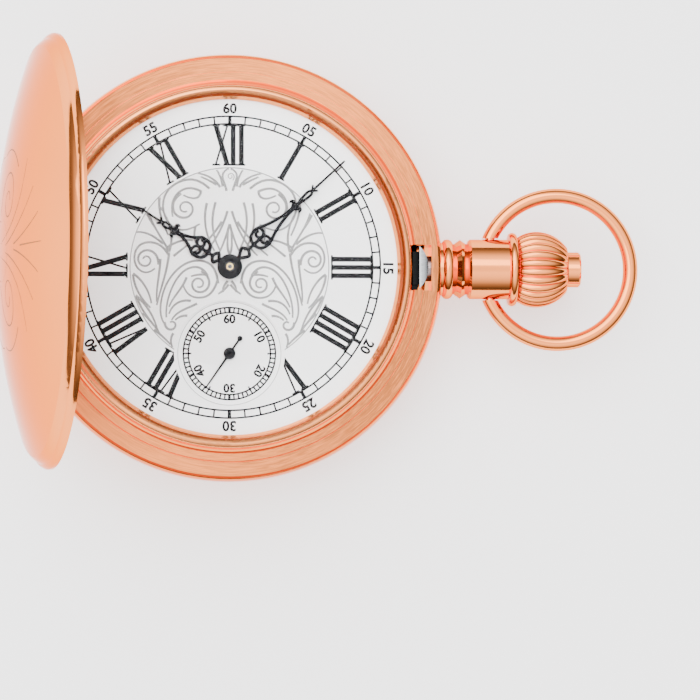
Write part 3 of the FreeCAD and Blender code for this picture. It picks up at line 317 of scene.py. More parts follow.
def handling_group():
    """Hairlines, faint smudges and slow tone drift of metal that has been handled."""
    group, inlet, outlet = group_base("handling_wear", [
        ("Place", "NodeSocketVector", (0, 0, 0)), ("Hairlines", "NodeSocketFloat", 1.0)],
        [("Tone", "NodeSocketFloat"), ("Roughness", "NodeSocketFloat"), ("Height", "NodeSocketFloat")])
    place = inlet.outputs["Place"]
    stretch = group.nodes.new("ShaderNodeMapping")
    stretch.inputs["Scale"].default_value = (9000, 400, 900)
    stretch.inputs["Rotation"].default_value = (0.3, 0.2, 0.9)
    group.links.new(place, stretch.inputs["Vector"])
    lines = spread(group, noise(group, stretch.outputs[0], 1.0, 2.0), 0.62, 0.78)
    smudge = noise(group, place, 140.0, 4.0, 0.6)
    drift = noise(group, place, 45.0, 2.0)
    hair = maths(group, "MULTIPLY", lines, inlet.outputs["Hairlines"])
    tone = maths(group, "ADD", spread(group, drift, 0.3, 0.7, 0.95, 1.03),
                 maths(group, "MULTIPLY", hair, -0.05))
    rough = maths(group, "ADD", spread(group, smudge, 0.35, 0.75, 0.0, 0.05),
                  maths(group, "MULTIPLY", hair, 0.06))
    group.links.new(tone, outlet.inputs["Tone"])
    group.links.new(rough, outlet.inputs["Roughness"])
    group.links.new(maths(group, "MULTIPLY", hair, -1.0), outlet.inputs["Height"])
    return group


def turned_group():
    """Brushing that runs round an upright axis, as a lathe leaves it."""
    group, inlet, outlet = group_base("turned_brushing", [
        ("Place", "NodeSocketVector", (0, 0, 0)), ("Fineness", "NodeSocketFloat", 9000.0)],
        [("Grain", "NodeSocketFloat"), ("Radius", "NodeSocketFloat"), ("Angle", "NodeSocketFloat"),
         ("Height", "NodeSocketFloat")])
    parts = group.nodes.new("ShaderNodeSeparateXYZ")
    group.links.new(inlet.outputs["Place"], parts.inputs[0])
    x, y, z = parts.outputs
    squares = maths(group, "ADD", maths(group, "MULTIPLY", x, x), maths(group, "MULTIPLY", y, y))
    radius = maths(group, "SQRT", squares)
    angle = maths(group, "ARCTAN2", y, x)
    half_turn = maths(group, "SINE", maths(group, "MULTIPLY", angle, 0.5))
    rings = joined_vector(group, maths(group, "MULTIPLY", radius, inlet.outputs["Fineness"]),
                          maths(group, "MULTIPLY", half_turn, 26.0),
                          maths(group, "MULTIPLY", z, inlet.outputs["Fineness"]))
    grain = noise(group, rings, 1.0, 3.0, 0.65)
    group.links.new(grain, outlet.inputs["Grain"])
    group.links.new(radius, outlet.inputs["Radius"])
    group.links.new(angle, outlet.inputs["Angle"])
    group.links.new(grain, outlet.inputs["Height"])
    return group


def satin_group():
    """Straight brushing along one axis of the piece."""
    group, inlet, outlet = group_base("straight_brushing", [
        ("Place", "NodeSocketVector", (0, 0, 0)), ("Fineness", "NodeSocketFloat", 6000.0)],
        [("Grain", "NodeSocketFloat")])
    parts = group.nodes.new("ShaderNodeSeparateXYZ")
    group.links.new(inlet.outputs["Place"], parts.inputs[0])
    x, y, z = parts.outputs
    fine = inlet.outputs["Fineness"]
    lines = joined_vector(group, maths(group, "MULTIPLY", x, 260.0), maths(group, "MULTIPLY", y, fine),
                          maths(group, "MULTIPLY", z, fine))
    group.links.new(noise(group, lines, 1.0, 3.0, 0.6), outlet.inputs["Grain"])
    return group


HANDLING = handling_group()
TURNED = turned_group()
SATIN = satin_group()


# ======================================================================== materials
def started(name, colour, metallic, roughness):
    material = bpy.data.materials.new(name)
    material.use_nodes = True
    tree = material.node_tree
    shader = tree.nodes["Principled BSDF"]
    shader.inputs["Base Color"].default_value = (*colour, 1.0)
    shader.inputs["Metallic"].default_value = metallic
    shader.inputs["Roughness"].default_value = roughness
    if metallic > 0.9:
        edge = [0.35 + 0.6 * channel for channel in colour]
        shader.inputs["Specular Tint"].default_value = (*edge, 1.0)
    place = tree.nodes.new("ShaderNodeTexCoord").outputs["Object"]
    return material, tree, shader, place


def placed(tree, group, place, **values):
    node = tree.nodes.new("ShaderNodeGroup")
    node.node_tree = group
    tree.links.new(place, node.inputs["Place"])
    for label, value in values.items():
        node.inputs[label].default_value = value
    return node


def toned(tree, shader, colour, tone, dark=0.75, light=1.05):
    """Base colour that moves between a darker and a lighter tone of itself."""
    mix = tree.nodes.new("ShaderNodeMix")
    mix.data_type = "RGBA"
    mix.inputs["A"].default_value = (*[channel * dark for channel in colour], 1.0)
    mix.inputs["B"].default_value = (*[min(1.0, channel * light) for channel in colour], 1.0)
    tree.links.new(tone, mix.inputs["Factor"])
    tree.links.new(mix.outputs["Result"], shader.inputs["Base Color"])


def bumped(tree, shader, height, strength, distance=0.00002):
    bump = tree.nodes.new("ShaderNodeBump")
    bump.inputs["Strength"].default_value = strength
    bump.inputs["Distance"].default_value = distance
    tree.links.new(height, bump.inputs["Height"])
    tree.links.new(bump.outputs["Normal"], shader.inputs["Normal"])


ROSE = (0.92, 0.27, 0.07)
STEEL = (0.32, 0.33, 0.345)
GILT = (0.86, 0.64, 0.28)
NICKEL = (0.74, 0.72, 0.67)


def polished_metal(name, colour, roughness=0.09, hairlines=1.0):
    material, tree, shader, place = started(name, colour, 1.0, roughness)
    wear = placed(tree, HANDLING, place, Hairlines=hairlines)
    toned(tree, shader, colour, spread(tree, wear.outputs["Tone"], 0.88, 1.04), 0.94, 1.02)
    rough = maths(tree, "ADD", wear.outputs["Roughness"], roughness)
    tree.links.new(rough, shader.inputs["Roughness"])
    bumped(tree, shader, wear.outputs["Height"], 0.15, 0.000004)
    return material


def brushed_metal(name, colour, roughness=0.28, fineness=6000.0, around=False):
    material, tree, shader, place = started(name, colour, 1.0, roughness)
    grain = placed(tree, TURNED if around else SATIN, place, Fineness=fineness).outputs["Grain"]
    wear = placed(tree, HANDLING, place, Hairlines=0.6)
    toned(tree, shader, colour, grain, 0.78, 1.05)
    rough = maths(tree, "ADD", spread(tree, grain, 0.3, 0.7, roughness - 0.08, roughness + 0.1),
                  wear.outputs["Roughness"])
    tree.links.new(rough, shader.inputs["Roughness"])
    bumped(tree, shader, grain, 0.35, 0.00001)
    return material


def case_rose_gold():
    """Polished rose gold with the turned satin band round the top of the case; the band's colour is painted darker
    as painted shade, with a painted sheen that sweeps round it.
    """
    material, tree, shader, place = started("rose_gold_case_painted_shade", ROSE, 1.0, 0.1)
    turned = placed(tree, TURNED, place, Fineness=11000.0)
    wear = placed(tree, HANDLING, place, Hairlines=0.8)
    parts = tree.nodes.new("ShaderNodeSeparateXYZ")
    tree.links.new(place, parts.inputs[0])
    radius = turned.outputs["Radius"]
    inside = spread(tree, radius, 0.02390, 0.02396, 1.0, 0.0)
    beyond_ledge = spread(tree, radius, 0.02132, 0.02137)
    step = maths(tree, "SUBTRACT", 1.0, maths(tree, "MULTIPLY", spread(tree, radius, 0.02218, 0.02220),
                                              spread(tree, radius, 0.02230, 0.02232, 1.0, 0.0)))
    top = spread(tree, parts.outputs[2], 0.00925, 0.00935)
    ring_zone = maths(tree, "MULTIPLY", inside, beyond_ledge)
    mask = maths(tree, "MULTIPLY", ring_zone, maths(tree, "MULTIPLY", step, top))
    grain = turned.outputs["Grain"]
    # Painted sheen and painted shade: the satin band's colour is darkened, more in two opposite pairs of sectors
    # round the case.
    painted_sheen_sweep = maths(tree, "COSINE", maths(tree, "MULTIPLY_ADD", turned.outputs["Angle"], 2.0, 0.9))
    painted_shade_strength = maths(tree, "MULTIPLY_ADD", painted_sheen_sweep, 0.24, 0.78)
    brushed = maths(tree, "MULTIPLY", painted_shade_strength, spread(tree, grain, 0.3, 0.7, 0.55, 1.25))
    satin = maths(tree, "MULTIPLY", mask, brushed)
    # brushed and satin hold the grain and the painted shade together; the step ring stays at the polished colour.
    toned(tree, shader, ROSE, maths(tree, "SUBTRACT", 1.0, satin), 0.40, 1.12)
    rough = maths(tree, "ADD", maths(tree, "MULTIPLY", mask, 0.27), wear.outputs["Roughness"])
    tree.links.new(maths(tree, "ADD", rough, 0.08), shader.inputs["Roughness"])
    bumped(tree, shader, maths(tree, "MULTIPLY", grain, mask), 0.5, 0.000012)
    return material


def dial_silver():
    """Silvered dial: rays on the chapter ring with a painted sunray sheen, frosted relief ground darkened as
    painted shade, circular satin seconds.
    """
    colour = (0.93, 0.935, 0.93)
    material, tree, shader, place = started("silvered_dial", colour, 0.35, 0.34)
    middle = placed(tree, TURNED, place, Fineness=200.0)
    shift = tree.nodes.new("ShaderNodeMapping")
    shift.inputs["Location"].default_value = (0, -SECONDS_Y * MM, 0)
    tree.links.new(place, shift.inputs["Vector"])
    small = placed(tree, TURNED, shift.outputs[0], Fineness=15000.0)
    angle = middle.outputs["Angle"]
    rays = joined_vector(tree, maths(tree, "MULTIPLY", maths(tree, "SINE", angle), 60.0),
                         maths(tree, "MULTIPLY", maths(tree, "COSINE", angle), 60.0),
                         maths(tree, "MULTIPLY", middle.outputs["Radius"], 20.0))
    ray = noise(tree, rays, 1.0, 4.0, 0.7)
    # Painted sheen: broad makes the plain dial lighter and darker in two pairs of sectors, as a sunray dial looks
    # under light.
    broad = maths(tree, "COSINE", maths(tree, "MULTIPLY", angle, 2.0))
    frost = noise(tree, place, 9000.0, 2.0)
    in_disc = spread(tree, middle.outputs["Radius"], (ORNAMENT_R - 0.05) * MM,
                     (ORNAMENT_R + 0.05) * MM, 1.0, 0.0)
    in_small = spread(tree, small.outputs["Radius"], 0.00605, 0.0061, 1.0, 0.0)
    ring_grain = maths(tree, "MULTIPLY", small.outputs["Grain"], in_small)
    plain = maths(tree, "MULTIPLY", maths(tree, "SUBTRACT", 1.0, in_disc),
                  maths(tree, "SUBTRACT", 1.0, in_small))
    tone = maths(tree, "ADD", 0.88, maths(tree, "MULTIPLY", plain, maths(tree, "MULTIPLY", broad, -0.13)))
    tone = maths(tree, "ADD", tone, maths(tree, "MULTIPLY", plain, spread(tree, ray, 0.3, 0.7, -0.08, 0.08)))
    tone = maths(tree, "ADD", tone, maths(tree, "MULTIPLY", ring_grain, 0.12))
    # Painted shade: the ornament's ground is darkened, as shade between the raised relief.
    tone = maths(tree, "SUBTRACT", tone, maths(tree, "MULTIPLY", in_disc, 0.12))
    toned(tree, shader, colour, tone, 0.80, 1.12)
    rough = maths(tree, "ADD", maths(tree, "MULTIPLY", in_disc, 0.15), spread(tree, ray, 0.3, 0.7, 0.3, 0.42))
    tree.links.new(rough, shader.inputs["Roughness"])
    height = maths(tree, "ADD", maths(tree, "MULTIPLY", frost, in_disc), ring_grain)
    bumped(tree, shader, maths(tree, "ADD", height, maths(tree, "MULTIPLY", plain, ray)), 0.25, 0.000005)
    return material


def relief_painted_shade():
    """Frosted silver of the raised scrollwork and dial steps, painted dark grey as the shade of the relief's
    grooves and steps; its tone varies at random.
    """
    # Painted shade: dark grey stands in for the shade of the relief's grooves and steps on the same silver.
    colour = (0.25, 0.25, 0.248)
    material, tree, shader, place = started("relief_painted_shade", colour, 0.35, 0.5)
    frost = noise(tree, place, 7000.0, 3.0)
    patch = noise(tree, place, 500.0, 2.0)
    toned(tree, shader, colour, maths(tree, "MULTIPLY", frost, patch), 0.8, 1.25)
    tree.links.new(spread(tree, frost, 0.3, 0.7, 0.42, 0.6), shader.inputs["Roughness"])
    bumped(tree, shader, frost, 0.3, 0.000004)
    return material


def printed_black():
    """Pad-printed black ink with a faint orange-peel."""
    colour = (0.004, 0.004, 0.005)
    material, tree, shader, place = started("dial_ink", colour, 0.0, 0.45)
    shader.inputs["Specular IOR Level"].default_value = 0.12
    peel = noise(tree, place, 12000.0, 2.0)
    patch = noise(tree, place, 900.0, 2.0)
    toned(tree, shader, colour, patch, 0.8, 1.6)
    tree.links.new(spread(tree, peel, 0.3, 0.7, 0.38, 0.55), shader.inputs["Roughness"])
    bumped(tree, shader, peel, 0.2, 0.000003)
    return material


def hand_black():
    """Glossy black lacquer over metal."""
    colour = (0.004, 0.004, 0.005)
    material, tree, shader, place = started("black_hands", colour, 0.0, 0.3)
    wear = placed(tree, HANDLING, place, Hairlines=0.7)
    toned(tree, shader, colour, spread(tree, wear.outputs["Tone"], 0.88, 1.04), 0.8, 1.8)
    tree.links.new(maths(tree, "ADD", wear.outputs["Roughness"], 0.2), shader.inputs["Roughness"])
    shader.inputs["Specular IOR Level"].default_value = 0.10
    bumped(tree, shader, wear.outputs["Height"], 0.1, 0.000003)
    return material


def crystal_glass():
    """Clear mineral crystal; shadow rays pass it, so that the dial stays bright."""
    material, tree, shader, place = started("mineral_crystal", (0.985, 0.99, 0.99), 0.0, 0.02)
    shader.inputs["Transmission Weight"].default_value = 1.0
    shader.inputs["IOR"].default_value = 1.1
    wear = placed(tree, HANDLING, place, Hairlines=0.5)
    tree.links.new(maths(tree, "MULTIPLY", wear.outputs["Roughness"], 0.25), shader.inputs["Roughness"])
    output = tree.nodes["Material Output"]
    clear = tree.nodes.new("ShaderNodeBsdfTransparent")
    path = tree.nodes.new("ShaderNodeLightPath")
    mix = tree.nodes.new("ShaderNodeMixShader")
    tree.links.new(path.outputs["Is Shadow Ray"], mix.inputs[0])
    tree.links.new(shader.outputs[0], mix.inputs[1])
    tree.links.new(clear.outputs[0], mix.inputs[2])
    tree.links.new(mix.outputs[0], output.inputs["Surface"])
    return material


def lock_steel_painted_shade():
    """Bright steel where the lock's nose shows, painted near-black below as painted shade down in the case."""
    material, tree, shader, place = started("lock_steel_painted_shade", STEEL, 1.0, 0.26)
    parts = tree.nodes.new("ShaderNodeSeparateXYZ")
    tree.links.new(place, parts.inputs[0])
    grain = placed(tree, SATIN, place, Fineness=5000.0).outputs["Grain"]
    # Painted shade: below this height the steel's colour is painted near-black, standing for the shade down in the
    # case.
    above = spread(tree, parts.outputs[2], 0.00955, 0.0098)
    bright = maths(tree, "MULTIPLY", above, spread(tree, grain, 0.2, 0.8, 0.75, 1.0))
    toned(tree, shader, STEEL, bright, 0.03, 1.1)
    tree.links.new(spread(tree, grain, 0.3, 0.7, 0.2, 0.36), shader.inputs["Roughness"])
    bumped(tree, shader, grain, 0.2, 0.000006)
    return material


def ruby():
    """Synthetic ruby bearing stone."""
    colour = (0.62, 0.02, 0.10)
    material, tree, shader, place = started("ruby_stone", colour, 0.0, 0.08)
    cloud = noise(tree, place, 1500.0, 3.0)
    toned(tree, shader, colour, cloud, 0.7, 1.25)
    tree.links.new(spread(tree, cloud, 0.3, 0.7, 0.05, 0.14), shader.inputs["Roughness"])
    shader.inputs["Coat Weight"].default_value = 0.8
    bumped(tree, shader, cloud, 0.05, 0.000003)
    return material


def striped_nickel():
    """Nickelled brass with broad decorative stripes over a fine straight grain."""
    material, tree, shader, place = started("striped_nickel", NICKEL, 1.0, 0.26)
    wave = tree.nodes.new("ShaderNodeTexWave")
    wave.bands_direction = "X"
    wave.inputs["Scale"].default_value = 170.0
    wave.inputs["Distortion"].default_value = 0.3
    tree.links.new(place, wave.inputs["Vector"])
    grain = placed(tree, SATIN, place, Fineness=8000.0).outputs["Grain"]
    blend = maths(tree, "MULTIPLY", wave.outputs["Fac"], spread(tree, grain, 0.2, 0.8, 0.7, 1.0))
    toned(tree, shader, NICKEL, blend, 0.8, 1.08)
    tree.links.new(spread(tree, grain, 0.3, 0.7, 0.18, 0.34), shader.inputs["Roughness"])
    bumped(tree, shader, blend, 0.2, 0.00001)
    return material


ROSE_POLISHED = polished_metal("rose_gold_polished", ROSE, 0.07)
# Painted shade: the engraved lines are a darker, browner copy of the rose gold, standing for the shade in engraved
# grooves.
ROSE_ENGRAVED_PAINTED_SHADE = brushed_metal("rose_gold_engraved_painted_shade", (0.42, 0.17, 0.08), 0.3, 12000.0)
ROSE_CASE_PAINTED_SHADE = case_rose_gold()
ROSE_BEZEL = polished_metal("rose_gold_bezel", (0.95, 0.33, 0.11), 0.24, 0.6)
STEEL_BRUSHED = brushed_metal("steel_brushed", STEEL, 0.3)
LOCK_STEEL_PAINTED_SHADE = lock_steel_painted_shade()
HUB_METAL = brushed_metal("hub_metal", (0.10, 0.10, 0.11), 0.3, 9000.0, around=True)
GILT_TURNED = brushed_metal("gilt_turned", GILT, 0.25, 7000.0, around=True)
NICKEL_STRIPED = striped_nickel()
RUBY = ruby()
DIAL = dial_silver()
RELIEF_PAINTED_SHADE = relief_painted_shade()
INK = printed_black()
BLACK = hand_black()
CRYSTAL = crystal_glass()

FINISH_OF_SLOT = {
    "rose_gold": ROSE_POLISHED, "steel": STEEL_BRUSHED, "nickelled_brass": NICKEL_STRIPED,
    "gilt_brass": GILT_TURNED, "ruby": RUBY, "crystal": CRYSTAL, "dial": DIAL, "black_hands": BLACK,
}


def finish_frame():
    """Gives every node of the frame the finish of its material slot."""
    slot_of = {part["node"]: part["material_slot"] for part in frame["record"]["subparts"]}
    own = {"case_middle": ROSE_CASE_PAINTED_SHADE, "catch_spring": LOCK_STEEL_PAINTED_SHADE, "bezel": ROSE_BEZEL}
    for node, piece in frame["nodes"].items():
        piece.data.materials.clear()
        piece.data.materials.append(own.get(node, FINISH_OF_SLOT[slot_of[node]]))


# ======================================================================== dial
def straight_tick(clockwise_deg, inner, outer, width, centre=(0, 0)):
    return slab(bar_between(polar(inner, clockwise_deg, centre), polar(outer, clockwise_deg, centre), width),
                INK_THICK)


def minute_track():
    parts = [washer(TRACK_OUTER + 0.1, TRACK_OUTER - 0.1, INK_THICK, segments=180),
             washer(TRACK_INNER + 0.1, TRACK_INNER - 0.1, INK_THICK, segments=180)]
    for minute in range(60):
        wide = 0.4 if minute % 5 == 0 else 0.19
        parts.append(straight_tick(6 * minute, TRACK_INNER, TRACK_OUTER, wide))
    track = moved(joined(parts), (0, 0, DIAL_TOP))
    return settle(recalculated(track), "minute_track", INK, "case")


def figure(text, radius, clockwise_deg, height, centre=(0, 0)):
    """A dial figure set with its top outwards."""
    bpy.ops.object.text_add()
    piece = bpy.context.object
    piece.data.body = text
    piece.data.size = height * 1.38 * MM
    piece.data.align_x = "CENTER"
    piece.data.align_y = "CENTER"
    piece.data.extrude = INK_THICK * MM / 2
    piece.data.offset = 0.055 * MM
    piece.data.resolution_u = 3
    piece = to_mesh(piece)
    x, y = polar(radius, clockwise_deg, centre)
    return moved(moved(piece, clockwise_deg=clockwise_deg), (x, y, 0))


def minute_figures():
    parts = []
    for number in range(12):
        text = "60" if number == 0 else "%02d" % (5 * number)
        parts.append(figure(text, MINUTE_FIGURE_R, 30 * number, FIGURE_HEIGHT))
    figures = moved(joined(parts), (0, 0, DIAL_TOP + INK_THICK / 2))
    return settle(figures, "minute_figures", INK, "case")


ROMAN = {0: "XII", 1: "I", 2: "II", 3: "III", 4: "IIII", 5: "V",
         7: "VII", 8: "VIII", 9: "IX", 10: "X", 11: "XI"}
STEM_WIDTH = 0.57
HAIR_WIDTH = 0.22
LETTER_STEP = {"I": 0.94, "V": 1.62, "X": 1.72}
SERIF_HALF = 0.46


def roman_letter(letter, left):
    """Strokes of one numeral letter; left is where its space begins."""
    low, high = ROMAN_INNER, ROMAN_OUTER
    width = LETTER_STEP[letter]
    middle = left + width / 2
    strokes = []
    serifs = []
    if letter == "I":
        strokes.append(bar_between((middle, low), (middle, high), STEM_WIDTH))
        serifs = [(middle, low), (middle, high)]
    elif letter == "V":
        strokes.append(bar_between((middle - 0.55, high), (middle, low), STEM_WIDTH))
        strokes.append(bar_between((middle + 0.6, high), (middle + 0.08, low), HAIR_WIDTH))
        serifs = [(middle - 0.55, high), (middle + 0.6, high)]
    else:
        strokes.append(bar_between((middle - 0.66, high), (middle + 0.66, low), STEM_WIDTH))
        strokes.append(bar_between((middle + 0.66, high), (middle - 0.66, low), HAIR_WIDTH))
        serifs = [(middle - 0.66, high), (middle + 0.6, high), (middle + 0.66, low), (middle - 0.6, low)]
    for x, y in serifs:
        strokes.append(bar_between((x - SERIF_HALF, y), (x + SERIF_HALF, y), HAIR_WIDTH))
    return strokes


def roman_numerals():
    """Bold numerals with hairline serifs; those beside the seconds dial stop at its rim."""
    parts = []
    for hour, letters in ROMAN.items():
        left = -sum(LETTER_STEP[letter] for letter in letters) / 2
        strokes = []
        for letter in letters:
            strokes += [slab(corners, INK_THICK) for corners in roman_letter(letter, left)]
            left += LETTER_STEP[letter]
        parts.append(moved(joined(strokes), clockwise_deg=30 * hour))
    numerals = moved(joined(parts), (0, 0, DIAL_TOP))
    bpy.ops.mesh.primitive_cylinder_add(vertices=96, radius=(SUBDIAL_RIM + 0.12) * MM, depth=4 * MM,
                                        location=(0, SECONDS_Y * MM, DIAL_TOP * MM))
    cutter = bpy.context.object
    activate(numerals)
    cut = numerals.modifiers.new("rim", "BOOLEAN")
    cut.operation = "DIFFERENCE"
    cut.object = cutter
    cut.solver = "EXACT"
    cut.use_self = True
    bpy.ops.object.modifier_apply(modifier="rim")
    bpy.data.objects.remove(cutter)
    return settle(numerals, "roman_numerals", INK, "case")


SUBDIAL_RIM = 6.1


def seconds_track():
    centre = (0, SECONDS_Y)
    parts = []
    for radius in (SECONDS_TRACK, SECONDS_TRACK_INNER):
        parts.append(washer(radius + 0.09, radius - 0.09, INK_THICK, centre))
    for second in range(60):
        wide = 0.3 if second % 10 == 0 else 0.18
        inner = SECONDS_TRACK_INNER - (0.35 if second % 10 == 5 else 0.0)
        parts.append(straight_tick(6 * second, inner, SECONDS_TRACK, wide, centre))
    for number in range(6):
        text = "60" if number == 0 else "%d" % (10 * number)
        parts.append(moved(figure(text, SECONDS_FIGURE_R, 60 * number, 0.98, centre), (0, 0, INK_THICK / 2)))
    track = moved(joined(parts), (0, 0, DIAL_TOP - SUBDIAL_DROP))
    return settle(track, "seconds_track", INK, "case")


def dial_rims():
    """The fine step round the ornament and the rounded rim of the seconds dial."""
    outer = washer(ORNAMENT_R + 0.06, ORNAMENT_R - 0.06, 0.03, segments=180)
    rim = washer(SUBDIAL_RIM + 0.22, SUBDIAL_RIM - 0.02, 0.05, (0, SECONDS_Y), segments=144)
    inner = washer(SUBDIAL_RIM - 0.18, SUBDIAL_RIM - 0.24, 0.02, (0, SECONDS_Y), segments=144)
    moved(inner, (0, 0, -SUBDIAL_DROP))
    bpy.ops.mesh.primitive_cylinder_add(vertices=96, radius=(SUBDIAL_RIM + 0.1) * MM, depth=2 * MM,
                                        location=(0, SECONDS_Y * MM, 0))
    cutter = bpy.context.object
    activate(outer)
    cut = outer.modifiers.new("gap", "BOOLEAN")
    cut.object = cutter
    bpy.ops.object.modifier_apply(modifier="gap")
    bpy.data.objects.remove(cutter)
    settle(smooth(moved(rim, (0, 0, DIAL_TOP))), "seconds_rim", DIAL, "case")
    rims = moved(joined([outer, inner]), (0, 0, DIAL_TOP))
    # The steps round the ornament and inside the seconds rim take the dark grey painted shade.
    return settle(smooth(rims), "dial_rims", RELIEF_PAINTED_SHADE, "case")


def scrollwork_lines():
    """Right-hand half of the relief: volutes, stems, leaves and the central palmette."""
    lines = [
        # upper volute and the stem that feeds it
        scroll((5.1, 6.7), 1.75, 0.42, 75, -560),
        [(2.3, 8.95), (3.6, 10.2), (5.8, 10.0), (7.6, 8.4), (7.7, 6.0), (6.6, 4.4), (5.0, 3.9), (3.4, 4.9)],
        [(3.2, 8.6), (4.3, 9.2), (5.9, 8.9), (6.8, 7.3), (6.5, 5.7)],
        [(3.3, 8.6), (3.4, 7.6), (4.4, 7.7), (5.3, 8.2)],
        [(1.6, 7.4), (2.3, 5.2), (1.9, 3.4), (1.1, 1.9)],
        [(2.6, 7.3), (3.1, 5.3), (2.7, 3.5), (1.7, 1.8)],
        [(3.9, 4.6), (4.2, 3.4), (3.8, 2.6)],
        # crest above
        [(1.1, 9.1), (1.5, 9.9), (2.4, 10.5), (3.6, 10.7)],
        [(0.8, 9.2), (0.9, 10.2), (1.5, 11.1)],
        [(1.5, 9.4), (2.3, 9.9), (3.3, 10.3)],
        [(0.35, 8.7), (0.55, 9.5), (0.95, 10.2), (0.75, 11.0), (0.1, 11.25)],
        # lower volute and the stem that runs down beside the seconds dial
        scroll((3.5, -1.95), 1.5, 0.38, 100, 560),
        [(1.3, -1.9), (1.5, 0.1), (3.2, 1.0), (5.4, 0.4), (7.2, -1.6), (8.0, -4.2), (7.9, -6.2), (6.9, -7.2)],
        [(1.4, -1.6), (1.9, -3.2), (3.4, -3.8), (4.9, -3.3), (5.3, -2.1)],
        [(2.5, -1.0), (3.1, 0.0), (4.4, 0.1), (5.6, -0.7), (6.7, -2.4), (7.3, -4.6), (7.2, -5.8)],
        [(2.6, -0.9), (3.6, -0.8), (4.4, -1.1)],
        [(4.9, -1.2), (5.4, -2.6), (6.4, -3.3), (6.9, -4.6)],
        [(4.4, -3.9), (5.5, -3.7), (6.5, -4.2), (6.9, -5.4)],
        [(3.7, -4.2), (4.8, -4.8), (6.0, -5.0), (6.6, -6.1)],
        [(4.8, -5.6), (5.6, -5.5), (6.2, -6.1)],
        scroll((6.6, -6.6), 0.85, 0.3, 20, -330),
        # side volute
        scroll((9.55, 0.75), 1.55, 0.36, 200, -540),
        [(7.0, 1.4), (7.6, 2.5), (9.2, 3.0), (10.6, 2.4), (11.0, 0.9), (10.5, -0.5),
         (9.3, -0.9), (8.5, -0.2)],
        [(6.9, 1.6), (7.1, -0.6), (7.9, -2.6), (8.3, -4.4)],
        [(7.9, 0.9), (7.9, -0.6), (8.4, -2.4), (8.3, -4.0)],
        # leaves that climb to the rim
        [(6.9, 1.7), (6.3, 3.4), (6.8, 5.2), (7.9, 6.8)],
        [(6.9, 1.7), (7.7, 3.3), (8.7, 4.4), (9.2, 6.2)],
        [(7.6, 2.6), (8.6, 3.6), (9.9, 4.1), (10.6, 3.9)],
        [(8.0, 7.9), (8.2, 6.4), (7.6, 4.8), (7.0, 3.6)],
        [(9.4, 6.0), (8.9, 4.9), (8.2, 4.0)],
        [(7.2, 2.2), (5.4, 3.3), (4.2, 3.0)],
        [(6.4, 1.2), (5.2, 2.2), (4.6, 2.6)],
        # leaves that hang down the flank
        [(11.0, -0.8), (9.9, -1.5), (9.1, -2.9), (8.9, -4.2)],
        [(11.0, -0.9), (10.9, -2.4), (10.0, -3.8), (9.0, -4.7)],
        [(10.7, -3.3), (9.4, -4.3), (8.6, -5.8), (8.2, -7.2)],
        [(10.6, -3.4), (10.1, -5.0), (9.0, -6.2), (8.1, -7.3)],
        [(9.9, -5.3), (8.8, -6.3), (7.9, -7.7)],
        [(8.6, -7.2), (7.6, -7.9), (6.7, -8.9)],
        [(6.4, -7.6), (6.9, -8.3), (6.5, -9.2)],
        # palmette over the hub and the small drop under it
        [(0.0, 4.9), (0.35, 3.6), (0.75, 2.5), (1.2, 1.6)],
        [(0.25, 6.4), (0.8, 4.4), (1.9, 2.4), (3.2, 1.3)],
        [(0.9, 5.2), (1.6, 3.9), (2.9, 2.5), (4.4, 1.3)],
        [(0.0, 1.5), (0.32, 1.9), (0.28, 3.0), (0.15, 4.2)],
        [(0.1, -2.0), (0.6, -2.7), (1.3, -3.1)],
        [(0.2, -1.6), (0.9, -2.3), (0.7, -2.9)],
    ]
    return lines


def dial_relief():
    """Scrollwork of the dial's centre: drawn once, mirrored and kept off the seconds dial."""
    strokes = []
    for points in scrollwork_lines():
        for side in (points, mirrored(points)):
            strokes.append((side, 0.30, 0.2))
    strokes.append((scroll((0.1, 10.35), 0.5, 0.16, -60, 480), 0.13, 0.1))
    relief = flattened(drawn(strokes, resolution=4, sides=1), 0.34)
    relief = moved(relief, (0, 0, DIAL_TOP))
    bpy.ops.mesh.primitive_cylinder_add(vertices=96, radius=(SUBDIAL_RIM + 0.2) * MM, depth=2 * MM,
                                        location=(0, SECONDS_Y * MM, DIAL_TOP * MM))
    cutter = bpy.context.object
    activate(relief)
    cut = relief.modifiers.new("gap", "BOOLEAN")
    cut.object = cutter
    cut.solver = "FAST"
    bpy.ops.object.modifier_apply(modifier="gap")
    bpy.data.objects.remove(cutter)
    # The scrollwork takes the dark grey painted shade of the relief's grooves.
    return settle(smooth(relief, 60), "dial_scrollwork", RELIEF_PAINTED_SHADE, "case")


# ======================================================================== hands
def hub_boss(radius, eye, thick, place=(0, 0)):
    """A round boss with a rounded edge and a countersunk eye."""
    bpy.ops.mesh.primitive_cylinder_add(vertices=72, radius=radius * MM, depth=thick * MM,
                                        location=(place[0] * MM, place[1] * MM, thick * MM / 2))
    piece = bpy.context.object
    bpy.ops.object.mode_set(mode="EDIT")
    bpy.ops.mesh.select_all(action="DESELECT")
    bpy.ops.object.mode_set(mode="OBJECT")
    for face in piece.data.polygons:
        face.select = face.normal.z > 0.9
    bpy.ops.object.mode_set(mode="EDIT")
    bpy.ops.mesh.select_mode(type="FACE")
    bpy.ops.mesh.inset(thickness=(radius - eye) * MM, depth=0)
    bpy.ops.mesh.inset(thickness=0.06 * MM, depth=-0.05 * MM)
    bpy.ops.mesh.inset(thickness=0.16 * MM, depth=0.03 * MM)
    bpy.ops.object.mode_set(mode="OBJECT")
    soften = piece.modifiers.new("edge", "BEVEL")
    soften.width = 0.035 * MM
    soften.segments = 2
    soften.limit_method = "ANGLE"
    activate(piece)
    bpy.ops.object.modifier_apply(modifier="edge")
    return smooth(piece)


def both(points):
    return [points, mirrored(points)]


